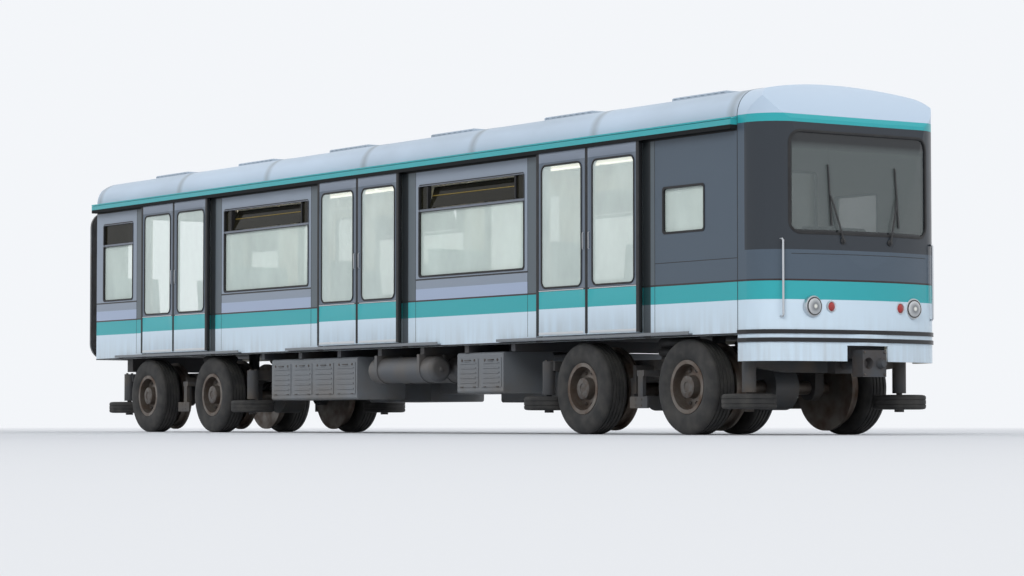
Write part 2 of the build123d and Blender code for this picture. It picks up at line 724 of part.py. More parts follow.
def windscreen():
    """One bowed pane that follows the nose."""
    pane_form = nose_form(SCREEN_RECESS, NOSE_BOTTOM, NOSE_SEAM)
    pane_form -= nose_form(SCREEN_RECESS + SCREEN_THICK, NOSE_BOTTOM, NOSE_SEAM - SCREEN_RECESS)
    return pane_form & screen_form(SEAM)


def nose_lamps():
    """Headlamps: a round case with a shallow domed lens."""
    lamps = []
    for side in (-1, 1):
        y = side * LAMP_Y
        case = rod((NOSE_FACE - LAMP_DEEP, y, LAMP_Z), (NOSE_FACE - LAMP_FRONT, y, LAMP_Z), LAMP_RADIUS)
        lamps.append(case)
    return lamps


def bulkhead():
    """The wall between saloon and cab, with its doorway and a window either side."""
    half = HALF_WIDTH - WALL
    wall = block(BULKHEAD, BULKHEAD + BULKHEAD_THICK, -half, half, FLOOR_TOP, CANT_HEIGHT)
    wall -= block(BULKHEAD - WALL, BULKHEAD + 2 * WALL, -CAB_DOOR_WIDTH / 2, CAB_DOOR_WIDTH / 2,
                  FLOOR_TOP, FLOOR_TOP + CAB_DOOR_HEIGHT)
    tall = BULKHEAD_WINDOW_TOP - BULKHEAD_WINDOW_BOTTOM
    for side in (-1, 1):
        window = Plane(origin=(BULKHEAD - WALL, side * BULKHEAD_WINDOW_Y, BULKHEAD_WINDOW_BOTTOM + tall / 2),
                       x_dir=(0, 1, 0), z_dir=(1, 0, 0))
        wall -= rounded_slab(window, BULKHEAD_WINDOW_WIDTH, tall, WINDOW_CORNER, 4 * WALL)
    for z in HINGE_HEIGHTS:
        wall += hinge_knuckle(z - HINGE_LENGTH / 2 - SEAM - HINGE_LENGTH, -1)
        wall += hinge_knuckle(z + HINGE_LENGTH / 2 + SEAM, -1)
    return wall


def hinge_knuckle(bottom, side):
    """One barrel of the cab door's hinge and the plate that joins it, towards one side."""
    x = BULKHEAD - HINGE_OUT
    y = -CAB_DOOR_WIDTH / 2 + CAB_DOOR_GAP / 2
    barrel = rod((x, y, bottom), (x, y, bottom + HINGE_LENGTH), HINGE_RADIUS)
    return barrel + block(x, BULKHEAD, y, y + side * HINGE_PLATE, bottom, bottom + HINGE_LENGTH)


def cab_door():
    """The door from the saloon to the cab."""
    gap = CAB_DOOR_GAP
    door = block(BULKHEAD, BULKHEAD + BULKHEAD_THICK, -CAB_DOOR_WIDTH / 2 + gap, CAB_DOOR_WIDTH / 2 - gap,
                 FLOOR_TOP + gap, FLOOR_TOP + CAB_DOOR_HEIGHT - gap)
    window = Plane(origin=(BULKHEAD - WALL, 0, CAB_DOOR_GLASS), x_dir=(0, 1, 0), z_dir=(1, 0, 0))
    door -= rounded_slab(window, CAB_DOOR_WIDTH - 2 * CAB_DOOR_GLASS_INSET, CAB_DOOR_GLASS_HEIGHT,
                         WINDOW_CORNER, 4 * WALL)
    for z in HINGE_HEIGHTS:
        door += hinge_knuckle(z - HINGE_LENGTH / 2, 1)
    return door


def cab_desk():
    """The driving desk across the nose."""
    start = NOSE_FACE - DESK_DEEP
    lamp_top = LAMP_Z + LAMP_RADIUS + WALL
    lamp_back = NOSE_FACE - LAMP_DEEP - WALL
    profile = [
        (start, DESK_TOP - DESK_FRONT), (start, DESK_TOP - DESK_SLOPE),
        (start + DESK_LEDGE, DESK_TOP), (NOSE_FACE, DESK_TOP), (NOSE_FACE, lamp_top),
        (lamp_back, lamp_top), (lamp_back, FLOOR_TOP), (start + DESK_KNEES + DESK_SLOPE, FLOOR_TOP),
        (start + DESK_KNEES, DESK_TOP - DESK_FRONT),
    ]
    face = Plane.XZ * make_face(Polyline(*profile, close=True))
    desk = Pos(0, DESK_HALF, 0) * extrude(face, amount=2 * DESK_HALF)
    hood = block(start + HOOD_START, start + HOOD_START + HOOD_LENGTH, -HOOD_HALF, HOOD_HALF,
                 DESK_TOP - DESK_SLOPE, DESK_TOP + HOOD_RISE)
    desk += chamfer(hood.edges().filter_by(Axis.Y).sort_by(Axis.Z)[-2:], HOOD_RISE / 2)
    return desk & nose_form(WALL + DESK_CLEAR, NOSE_BOTTOM, NOSE_SEAM - NOSE_DEPTH)


def driver_seat():
    """A padded seat on one round post."""
    x = NOSE_FACE - DESK_DEEP - SEAT_FROM_DESK
    half = SEAT_WIDTH / 2
    low = FLOOR_TOP + SEAT_HEIGHT
    pad = block(x - half, x + half, -half, half, low, low + SEAT_PAD)
    back = block(x - half, x - half + SEAT_PAD, -half, half, low, low + SEAT_PAD + SEAT_BACK)
    seat = fillet(pad.edges(), SEAT_PAD / 5) + fillet(back.edges(), SEAT_PAD / 5)
    return seat + rod((x, 0, FLOOR_TOP), (x, 0, low + SEAT_PAD / 2), SEAT_POST)


# Saloon


# A bench's section: how far forward of its back's foot, how high above the floor
BENCH_SECTION = [(452, 398), (455, 440), (425, 455), (60, 428), (18, 445), (-50, 960), (-66, 985),
                 (-92, 978), (-90, 940), (-28, 410), (0, 388), (400, 400)]


def bench(x, face):
    """A two-seat bench against the right wall; face is the way it looks along the car."""
    y0 = -HALF_WIDTH + WALL + BENCH_CLEAR
    y1 = y0 + BENCH_WIDTH
    points = [(x + face * ahead, FLOOR_TOP + up) for ahead, up in BENCH_SECTION]
    section = make_face(Polyline(*points, close=True))
    shell = Pos(0, y1, 0) * extrude(Plane.XZ * fillet(section.vertices(), BENCH_ROUND), amount=BENCH_WIDTH)
    leg_top = FLOOR_TOP + BENCH_LEG_HEIGHT
    start = x + face * BENCH_LEG_START
    leg = block(start, start + face * BENCH_LEG_LENGTH, y0, y0 + BENCH_LEG, FLOOR_TOP, leg_top)
    foot = y1 - BENCH_FOOT_IN
    middle = start + face * BENCH_LEG_LENGTH / 2
    leg += block(middle - BENCH_LEG / 2, middle + BENCH_LEG / 2, foot - BENCH_LEG, foot, FLOOR_TOP, leg_top)
    return shell + leg


def benches():
    """Facing benches under the middle of each long window, on both sides."""
    seats = []
    for door in DOORS[:-1]:
        middle = door + DOOR_PITCH / 2
        for face in (-1, 1):
            seat = bench(middle - face * BENCH_APART, face)
            seats += [seat, across(seat)]
    end = bench(GANGWAY_FACE + BENCH_FROM_END, 1)
    return seats + [end, across(end)]


def grab_poles():
    """Upright poles from floor to ceiling by the doors."""
    poles = []
    for door in DOORS:
        for side in (-1, 1):
            poles.append(rod((door, side * POLE_Y, FLOOR_TOP), (door, side * POLE_Y, CEILING), POLE_RADIUS))
    return poles


# Gangway and couplers


def gangway_ring(half, bottom, top, corner, x, length, taper=0):
    """A rounded block across the gangway, growing along X from x."""
    direction = 1 if length > 0 else -1
    plane = Plane(origin=(x, 0, (bottom + top) / 2), x_dir=(0, direction, 0), z_dir=(direction, 0, 0))
    return extrude(plane * RectangleRounded(2 * half, top - bottom, corner), amount=abs(length), taper=taper)


def bellows():
    """Half the gangway's bellows: folds that rise and fall around one opening."""
    start = -CAR_LENGTH / 2 + COUPLING_FRAME
    half_fold = (GANGWAY_FACE - start) / BELLOWS_FOLDS / 2
    taper = math.degrees(math.atan(BELLOWS_DEPTH / half_fold))
    form = None
    for i in range(BELLOWS_FOLDS):
        x = start + (2 * i + 1) * half_fold
        for length in (half_fold, -half_fold):
            fold = gangway_ring(BELLOWS_HALF, BELLOWS_BOTTOM, BELLOWS_TOP, BELLOWS_CORNER, x, length, taper)
            form = fold if form is None else form + fold
    inner = gangway_ring(BELLOWS_HALF - BELLOWS_WALL, BELLOWS_BOTTOM + BELLOWS_WALL,
                         BELLOWS_TOP - BELLOWS_WALL, BELLOWS_CORNER - BELLOWS_WALL,
                         start - WALL, GANGWAY_FACE - start + 2 * WALL)
    return form - inner


def gangway_frame():
    """The flat coupling frame, with the footplate that bridges the gap."""
    start = -CAR_LENGTH / 2
    frame = gangway_ring(BELLOWS_HALF, BELLOWS_BOTTOM, BELLOWS_TOP, BELLOWS_CORNER, start, COUPLING_FRAME)
    frame -= gangway_ring(BELLOWS_HALF - BELLOWS_WALL, BELLOWS_BOTTOM + BELLOWS_WALL,
                          BELLOWS_TOP - BELLOWS_WALL, BELLOWS_CORNER - BELLOWS_WALL,
                          start - WALL, 3 * WALL)
    half = PORTAL_WIDTH / 2 - WALL
    frame += block(start, GANGWAY_FACE, -half, half, FLOOR_TOP - FOOTPLATE, FLOOR_TOP)
    frame += block(start, start + COUPLING_FRAME, -half, half, BELLOWS_BOTTOM, FLOOR_TOP)
    return frame


def coupler_bracket(x):
    """The bracket that holds a draft bar under its headstock."""
    return block(x - BRACKET_HALF_LENGTH, x + BRACKET_HALF_LENGTH, -BRACKET_HALF_WIDTH, BRACKET_HALF_WIDTH,
                 COUPLER_Z - BRACKET_BELOW_BAR, HEADSTOCK_BOTTOM)


def drawbar():
    """The half drawbar under the gangway, from its bracket to its round flange."""
    start = GANGWAY_FACE + WALL + HEADSTOCK_LENGTH / 2
    bar = rod((-CAR_LENGTH / 2, 0, COUPLER_Z), (start, 0, COUPLER_Z), DRAWBAR_RADIUS)
    flange = rod((-CAR_LENGTH / 2, 0, COUPLER_Z), (-CAR_LENGTH / 2 + FLANGE_THICK, 0, COUPLER_Z),
                 FLANGE_RADIUS)
    for i in range(FLANGE_BOLTS):
        turn = 2 * math.pi * i / FLANGE_BOLTS
        y = FLANGE_CIRCLE * math.cos(turn)
        z = COUPLER_Z + FLANGE_CIRCLE * math.sin(turn)
        flange -= rod((-CAR_LENGTH / 2 - WALL, y, z), (-CAR_LENGTH / 2 + WALL, y, z), FLANGE_HOLE)
    bar += flange
    return bar + coupler_bracket(start)


def front_coupler():
    """The automatic coupler: a draft bar and a flat-faced head with a cone and a cup."""
    start = FRONT_HEADSTOCK + HEADSTOCK_LENGTH / 2
    tip = CAR_LENGTH / 2
    face = tip - COUPLER_CONE
    back = face - COUPLER_HEAD_LENGTH
    bar = rod((start, 0, COUPLER_Z), (back + COUPLER_BAR_INTO_HEAD, 0, COUPLER_Z), DRAWBAR_RADIUS)
    bar += coupler_bracket(start)
    bar += block(back, face, -COUPLER_HEAD_HALF, COUPLER_HEAD_HALF,
                 COUPLER_Z - COUPLER_HEAD_RISE, COUPLER_Z + COUPLER_HEAD_RISE)
    cone = Plane(origin=(face, CONE_Y, COUPLER_Z), z_dir=(1, 0, 0)) * Circle(CONE_RADIUS)
    bar += extrude(cone, amount=COUPLER_CONE, taper=CONE_TAPER)
    cup = Plane(origin=(face, -CONE_Y, COUPLER_Z), z_dir=(-1, 0, 0)) * Circle(CONE_RADIUS + CUP_CLEAR)
    return bar - extrude(cup, amount=COUPLER_CONE, taper=CONE_TAPER)


# Equipment under the floor


# Cases on each side, from the rear: share of the sole bars' length, inner side, outer side, depth
LEFT_CASES = [(0.31, 320, 1090, 520), (0.25, 320, 1090, 430), (0.44, 320, 1090, 540)]
RIGHT_CASES = [(0.42, 420, 1090, 500), (0.37, 0, 0, 0), (0.21, 420, 1090, 450)]


def floor_cases():
    """Equipment cases hung from the sole bars, the right side's with room for the air tanks."""
    room = SOLE_END - SOLE_START - 2 * CASE_INSET
    cases = []
    for side, table in ((1, LEFT_CASES), (-1, RIGHT_CASES)):
        start = SOLE_START + CASE_INSET
        for share, inner, outer, depth in table:
            end = start + share * room
            if depth:
                case = block(start + CASE_GAP / 2, end - CASE_GAP / 2, side * inner, side * outer,
                             SOLE_BOTTOM - depth, SOLE_BOTTOM)
                case = fillet(case.edges().filter_by(Axis.X), CASE_ROUND)
                for door in case_doors(start + CASE_GAP / 2, end - CASE_GAP / 2, side * outer, side, depth):
                    case += door
                cases.append(case)
            start = end
    return cases


def case_doors(start, end, face, side, depth):
    """Raised doors along a case's outer face, each with a row of slats."""
    count = max(1, round((end - start) / CASE_DOOR))
    pitch = (end - start) / count
    low = SOLE_BOTTOM - depth + CASE_ROUND + CASE_DOOR_MARGIN
    high = SOLE_BOTTOM - CASE_ROUND - CASE_DOOR_MARGIN
    rows = (high - low) / (CASE_SLATS + 1)
    doors = []
    for i in range(count):
        left = start + i * pitch + CASE_DOOR_MARGIN
        right = start + (i + 1) * pitch - CASE_DOOR_MARGIN
        door = block(left, right, face - side * CASE_DOOR_PROUD, face + side * CASE_DOOR_PROUD, low, high)
        for k in range(CASE_SLATS):
            z = low + (k + 1) * rows
            door += block(left + CASE_DOOR_MARGIN, right - CASE_DOOR_MARGIN,
                          face, face + side * CASE_SLAT_PROUD, z - CASE_SLAT / 2, z + CASE_SLAT / 2)
        doors.append(door)
    return doors


def air_tanks():
    """Two air tanks in their straps, hung from two cross members."""
    tanks = []
    z = SOLE_BOTTOM - TANK_RADIUS - TANK_DROP
    first = CROSS_COUNT // 2
    hangers = CROSS_MEMBERS[first : first + 2]
    for y in (-TANK_Y, -TANK_Y - TANK_PITCH):
        tank = rod((hangers[0] - TANK_OVERHANG, y, z),
                   (hangers[1] + CROSS_WIDTH + TANK_OVERHANG, y, z), TANK_RADIUS)
        tank = fillet(tank.edges(), TANK_DOME)
        for x in hangers:
            strap = TANK_RADIUS + STRAP_THICK
            tank += block(x, x + STRAP_WIDTH, y - strap, y + strap, z, SOLE_BOTTOM)
            tank += rod((x, y, z), (x + STRAP_WIDTH, y, z), strap)
        tanks.append(tank)
    return tanks


# Bogies


def side_beam(x, y):
    """A side beam: deep at the middle, slimmer past the axles, with two round holes."""
    end = GUIDE_SPAN / 2 - BEAM_WIDTH / 2
    slim = WHEELBASE / 2 + AXLE_BOX
    half = [(BEAM_BELLY_HALF, BEAM_BOTTOM - BEAM_BELLY), (BEAM_BELLY_HALF + BEAM_SLOPE, BEAM_BOTTOM),
            (slim, BEAM_BOTTOM), (slim + BEAM_SLOPE, BEAM_TOP - BEAM_SLIM), (end, BEAM_TOP - BEAM_SLIM),
            (end, BEAM_TOP)]
    outline = half + [(-along, up) for along, up in reversed(half)]
    face = fillet(make_face(Polyline(*outline, close=True)).vertices(), BEAM_ROUND)
    beam = Pos(x, y + BEAM_WIDTH / 2, 0) * extrude(Plane.XZ * face, amount=BEAM_WIDTH)
    middle = (BEAM_BOTTOM + BEAM_TOP) / 2
    for way in (-1, 1):
        at = x + way * BEAM_HOLE_X
        beam -= rod((at, y - BEAM_WIDTH, middle), (at, y + BEAM_WIDTH, middle), BEAM_HOLE)
    return beam


def end_beam(x):
    """A beam across the bogie's end, slimmer towards the guide wheels at its tips."""
    half = [(GUIDE_TRACK / 2, BEAM_TOP), (GUIDE_TRACK / 2, BEAM_TOP - END_BEAM_SLIM),
            (BEAM_TRACK / 2, BEAM_BOTTOM)]
    outline = half + [(-out, up) for out, up in reversed(half)]
    face = Plane.YZ * make_face(Polyline(*outline, close=True))
    return Pos(x - BEAM_WIDTH / 2, 0, 0) * extrude(face, amount=BEAM_WIDTH)


def guide_spindle(x, y):
    """The upright spindle that a guide wheel turns on, with its boss, shoulder and nut."""
    top = GUIDE_HEIGHT + GUIDE_WIDTH / 2 + SPINDLE_SHOULDER
    low = GUIDE_HEIGHT - GUIDE_WIDTH / 2 - SEAM
    spindle = rod((x, y, top), (x, y, BEAM_TOP), SPINDLE_BOSS)
    spindle += rod((x, y, low - SPINDLE_NUT), (x, y, top), SPINDLE_RADIUS)
    return spindle + rod((x, y, low - SPINDLE_NUT), (x, y, low), SPINDLE_NUT_RADIUS)


def axle_box(x, y):
    """A bearing case under a side beam, bored for the axle."""
    near, far = y - BEAM_WIDTH / 2, y + BEAM_WIDTH / 2
    box = rod((x, near, TYRE_RADIUS), (x, far, TYRE_RADIUS), AXLE_BOX)
    box += block(x - AXLE_BOX, x + AXLE_BOX, near, far, TYRE_RADIUS, BEAM_BOTTOM)
    return box - rod((x, near - WALL, TYRE_RADIUS), (x, far + WALL, TYRE_RADIUS), AXLE_RADIUS + SEAM)


def brake(x, side, way):
    """A brake block at a safety wheel's tread, and the hanger that carries it from the side beam."""
    inner = side * (SAFETY_TRACK / 2 + BEARING_CLEAR)
    outer = inner + side * BRAKE_WIDTH
    tread = SAFETY_RADIUS + BRAKE_CLEAR
    shoe = rod((x, inner, TYRE_RADIUS), (x, outer, TYRE_RADIUS), tread + BRAKE_THICK)
    shoe -= rod((x, inner, TYRE_RADIUS), (x, outer, TYRE_RADIUS), tread)
    shoe &= block(x - way * tread / 2, x - way * (tread + BRAKE_THICK), inner, outer,
                  TYRE_RADIUS - BRAKE_HALF_HEIGHT, TYRE_RADIUS + BRAKE_HALF_HEIGHT)
    near = x - way * (SAFETY_FLANGE + BRAKE_CLEAR)
    far = near - way * BRAKE_HANGER
    top = BEAM_TOP - BRAKE_LINK_TOP
    shoe += block(near, far, inner, outer, TYRE_RADIUS - BRAKE_HALF_HEIGHT / 2, top)
    return shoe + block(near, far, side * BEAM_TRACK / 2, outer, top - BRAKE_WIDTH, top)


def collector(x, side):
    """A current collector: an arm from the side beam, a post and an upright shoe."""
    low = BEAM_BOTTOM - BEAM_BELLY + MOTOR_GAP
    tip = side * COLLECTOR_REACH
    arm = block(x - COLLECTOR_ARM, x + COLLECTOR_ARM, side * BEAM_TRACK / 2, tip, low, low + COLLECTOR_ARM)
    arm += block(x - COLLECTOR_POST, x + COLLECTOR_POST, tip - side * COLLECTOR_POST, tip,
                 GUIDE_HEIGHT, low + COLLECTOR_ARM)
    return arm + block(x - COLLECTOR_SHOE, x + COLLECTOR_SHOE, tip, tip + side * COLLECTOR_SHOE_THICK,
                       GUIDE_HEIGHT - COLLECTOR_ARM, GUIDE_HEIGHT + COLLECTOR_ARM)


def bogie_frame(x):
    """A bogie: side and end beams, bolster, axle boxes, guide spindles, brakes and collectors."""
    frame = block(x - BOLSTER_LENGTH / 2, x + BOLSTER_LENGTH / 2, -BEAM_TRACK / 2, BEAM_TRACK / 2,
                  BEAM_BOTTOM, BEAM_TOP)
    for side in (-1, 1):
        y = side * BEAM_TRACK / 2
        frame += side_beam(x, y)
        frame += rod((x, y, BEAM_TOP - SPRING_PLATE_THICK), (x, y, BEAM_TOP), SPRING_PLATE)
        frame += collector(x, side)
    for way in (-1, 1):
        frame += end_beam(x + way * (GUIDE_SPAN / 2 - BEAM_WIDTH / 2))
        for side in (-1, 1):
            frame += guide_spindle(x + way * GUIDE_SPAN / 2, side * GUIDE_TRACK / 2)
            frame += axle_box(x + way * WHEELBASE / 2, side * BEAM_TRACK / 2)
            frame += brake(x + way * WHEELBASE / 2, side, way)
    return frame - rod((x, 0, BEAM_BOTTOM - WALL), (x, 0, BEAM_TOP + WALL), PIVOT_RADIUS + SEAM)


def drives(x):
    """A bogie's two banded motors, each with the gear case that surrounds its axle."""
    units = []
    for way in (-1, 1):
        ax = x + way * WHEELBASE / 2
        near = x + way * (BOLSTER_LENGTH / 2 + MOTOR_GAP)
        far = ax - way * (GEAR_RADIUS - MOTOR_GAP)
        unit = rod((near, 0, TYRE_RADIUS), (far, 0, TYRE_RADIUS), MOTOR_RADIUS)
        for share in MOTOR_BANDS:
            at = near + share * (far - near - way * MOTOR_BAND)
            unit += rod((at, 0, TYRE_RADIUS), (at + way * MOTOR_BAND, 0, TYRE_RADIUS),
                        MOTOR_RADIUS + MOTOR_BAND_PROUD)
        middle = (near + far) / 2
        unit += block(middle - TERMINAL_HALF, middle + TERMINAL_HALF, -TERMINAL_HALF, TERMINAL_HALF,
                      TYRE_RADIUS, TYRE_RADIUS + MOTOR_RADIUS + TERMINAL_RISE)
        unit += rod((ax, -GEAR_WIDTH / 2, TYRE_RADIUS), (ax, GEAR_WIDTH / 2, TYRE_RADIUS), GEAR_RADIUS)
        hold = x + way * BOLSTER_LENGTH / 2
        unit += block(hold, hold + way * MOTOR_HOLD_LENGTH, -MOTOR_HOLD, MOTOR_HOLD,
                      BEAM_BOTTOM + PIVOT_LOW, BEAM_TOP - PIVOT_LOW)
        unit -= rod((ax, -GEAR_WIDTH, TYRE_RADIUS), (ax, GEAR_WIDTH, TYRE_RADIUS),
                    AXLE_RADIUS + BEARING_CLEAR)
        units.append(unit)
    return units


def air_springs(x):
    """A bogie's two air springs: rubber in two folds between round plates."""
    low, top = BEAM_TOP, FLOOR_UNDER - SEAM
    fold_low, fold_top = low + SPRING_PLATE_THICK, top - SPRING_PLATE_THICK
    fold = (fold_top - fold_low) / 2
    outline = [
        Polyline((0, low), (SPRING_PLATE, low), (SPRING_PLATE, fold_low), (SPRING_NECK, fold_low)),
        ThreePointArc((SPRING_NECK, fold_low), (AIR_SPRING_RADIUS, fold_low + fold / 2),
                      (SPRING_NECK, fold_low + fold)),
        ThreePointArc((SPRING_NECK, fold_low + fold), (AIR_SPRING_RADIUS, fold_top - fold / 2),
                      (SPRING_NECK, fold_top)),
        Polyline((SPRING_NECK, fold_top), (SPRING_PLATE, fold_top), (SPRING_PLATE, top), (0, top), (0, low)),
    ]
    spring = revolve(Plane.XZ * make_face(Curve() + outline), Axis.Z)
    return [Pos(x, side * BEAM_TRACK / 2, 0) * spring for side in (-1, 1)]


def axle(x):
    """An axle turned with its safety wheels and the rims that the tyres sit on."""
    gauge = SAFETY_TRACK / 2
    back = gauge - WHEEL_BACK
    tread_end = back + SAFETY_WIDTH
    hub = AXLE_RADIUS + HUB_RISE
    tyre = TYRE_TRACK / 2
    rim = TYRE_WIDTH / 2 - RIM_IN
    profile = [
        (0, 0), (AXLE_RADIUS, 0), (AXLE_RADIUS, back), (SAFETY_FLANGE, back),
        (SAFETY_FLANGE, gauge - FLANGE_ROOT), (SAFETY_RADIUS, gauge),
        (SAFETY_RADIUS, tread_end), (SAFETY_RADIUS - SAFETY_RIM, tread_end),
        (SAFETY_RADIUS - SAFETY_RIM, gauge), (hub, gauge + DISC_LEAN),
        (hub, tyre - RIM_DISC_BACK), (RIM_RADIUS, tyre - rim),
        (RIM_RADIUS, tyre + rim), (RIM_RADIUS - RIM_THICK, tyre + rim),
        (RIM_RADIUS - RIM_THICK - RIM_BEVEL, tyre + RIM_DISC_FRONT),
        (AXLE_RADIUS + OUTER_HUB_RISE, tyre + OUTER_HUB_OUT),
        (AXLE_RADIUS + CAP_RISE, tyre + CAP_OUT), (0, tyre + CAP_OUT),
    ]
    face = Plane.XY * make_face(Polyline(*profile, close=True))
    half = revolve(face, Axis.Y)
    return Pos(x, 0, TYRE_RADIUS) * (half + across(half))


# A tyre's shoulder: how far under its tread and how far in from its sidewall, in crowns
TYRE_SHOULDER = [(2, 0), (0.6, 0.25), (0, 1)]


def tyre_ring(bore, radius, width, crown):
    """A tyre round Y, from half its section: flat tread, two shoulder cones and a full sidewall."""
    wall = width / 2
    half = [(bore, wall - BEAD_IN * crown), (bore + crown, wall)]
    half += [(radius - under * crown, wall - inward * crown) for under, inward in TYRE_SHOULDER]
    section = half + [(r, -y) for r, y in reversed(half)]
    return revolve(Plane.XY * make_face(Polyline(*section, close=True)), Axis.Y)


def tyres(x):
    """An axle's two load tyres."""
    tyre = tyre_ring(RIM_RADIUS + SEAM, TYRE_RADIUS, TYRE_WIDTH, TYRE_CROWN)
    y = TYRE_TRACK / 2
    return [Pos(x, side * y, TYRE_RADIUS) * tyre for side in (-1, 1)]


def guide_wheel(x, y):
    """A horizontal guide wheel: a tyre on a dished disc, with a boss bored for its spindle."""
    tyre = tyre_ring(GUIDE_RIM, GUIDE_RADIUS, GUIDE_WIDTH, GUIDE_CROWN)
    boss = GUIDE_WIDTH / 2
    disc = [(SPINDLE_RADIUS + SEAM, -boss), (GUIDE_BOSS, -boss), (GUIDE_BOSS + GUIDE_DISC, -GUIDE_DISC),
            (GUIDE_RIM + GUIDE_DISC, -GUIDE_DISC), (GUIDE_RIM + GUIDE_DISC, GUIDE_DISC),
            (GUIDE_BOSS + GUIDE_DISC, GUIDE_DISC), (GUIDE_BOSS, boss), (SPINDLE_RADIUS + SEAM, boss)]
    hub = revolve(Plane.XY * make_face(Polyline(*disc, close=True)), Axis.Y)
    return Pos(x, y, GUIDE_HEIGHT) * Rot(90, 0, 0) * (tyre + hub)


# Doors


def leaf(door, hand):
    """A right-side sliding leaf hung outside the wall; hand is the way it opens along the car."""
    inner = -HALF_WIDTH - LEAF_GAP
    outer = inner - LEAF_THICK
    near = door + hand * LEAF_MEET
    far = near + hand * LEAF_WIDTH
    panel = block(near, far, outer, inner, LEAF_BOTTOM, LEAF_TOP)
    width = LEAF_WIDTH - 2 * LEAF_GLASS_INSET
    height = LEAF_GLASS_TOP - LEAF_GLASS_BOTTOM
    window = Plane(origin=((near + far) / 2, inner + WALL, (LEAF_GLASS_BOTTOM + LEAF_GLASS_TOP) / 2),
                   x_dir=(1, 0, 0), z_dir=(0, -1, 0))
    panel -= rounded_slab(window, width, height, 2 * WINDOW_CORNER, 4 * WALL)
    hook_low = LEAF_TOP + TRACK_CLEAR + TRACK_THICK + SEAM
    for share in HANGER_SHARES:
        x = near + hand * share * LEAF_WIDTH
        panel += block(x - HANGER_LENGTH / 2, x + HANGER_LENGTH / 2, outer, outer + HANGER_THICK,
                       LEAF_TOP, hook_low + HANGER_THICK)
        panel += block(x - HANGER_LENGTH / 2, x + HANGER_LENGTH / 2, outer, -HALF_WIDTH - 2 * COVER_THICK,
                       hook_low, hook_low + HANGER_THICK)
    glass = Plane(origin=((near + far) / 2, (inner + outer + GLASS_THICK) / 2,
                          (LEAF_GLASS_BOTTOM + LEAF_GLASS_TOP) / 2), x_dir=(1, 0, 0), z_dir=(0, -1, 0))
    glass = rounded_slab(glass, width - 2 * SEAM, height - 2 * SEAM, 2 * WINDOW_CORNER - SEAM, GLASS_THICK)
    return [panel, glass]


# Build every piece and write it under its name

os.makedirs("parts", exist_ok=True)


def write(name, *pieces):
    """Write one sub-part, a solid or several, to its file."""
    solids = [solid for piece in pieces for solid in piece.solids()]
    shape = solids[0] if len(solids) == 1 else Compound(children=solids)
    shape.label = name
    export_step(shape, f"parts/{name}.step")


write("underframe", underframe())
wall = side_wall()
write("side_right", wall)
write("side_left", across(wall))
write("roof", roof())
write("gangway_end", end_wall())
write("cab_front", cab_front())
write("windscreen", windscreen())
frames = window_frames()
write("window_frames", *frames, *[across(frame) for frame in frames])
panes = side_panes()
write("side_glass", *panes, *[across(one) for one in panes])
rails = [cant_rail(), *lower_rails()]
write("door_tracks", *rails, *[across(rail) for rail in rails])
write("ceiling", ceiling())
write("ceiling_lamps", *ceiling_lamps())
write("headlamps", *nose_lamps())
write("cab_bulkhead", bulkhead())
write("cab_door", cab_door())
write("cab_desk", cab_desk())
write("driver_seat", driver_seat())
write("benches", *benches())
write("grab_poles", *grab_poles())
write("bellows", bellows())
write("gangway_frame", gangway_frame())
write("drawbar", drawbar())
write("front_coupler", front_coupler())
write("equipment_cases", *floor_cases())
write("air_tanks", *air_tanks())

number = 0
guide = 0
for name, x in BOGIES.items():
    write(f"bogie_{name}", bogie_frame(x))
    write(f"drives_{name}", *drives(x))
    write(f"air_springs_{name}", *air_springs(x))
    for way in (-1, 1):
        number += 1
        write(f"axle_{number}", axle(x + way * WHEELBASE / 2))
        write(f"tyres_{number}", *tyres(x + way * WHEELBASE / 2))
        for side in (-1, 1):
            guide += 1
            write(f"guide_wheel_{guide}", guide_wheel(x + way * GUIDE_SPAN / 2, side * GUIDE_TRACK / 2))

for i, door in enumerate(DOORS):
    for hand, end in ((-1, "rear"), (1, "front")):
        pieces = leaf(door, hand)
        write(f"leaf_right_{i + 1}_{end}", *pieces)
        write(f"leaf_left_{i + 1}_{end}", *[across(piece) for piece in pieces])
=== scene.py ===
import json
import math

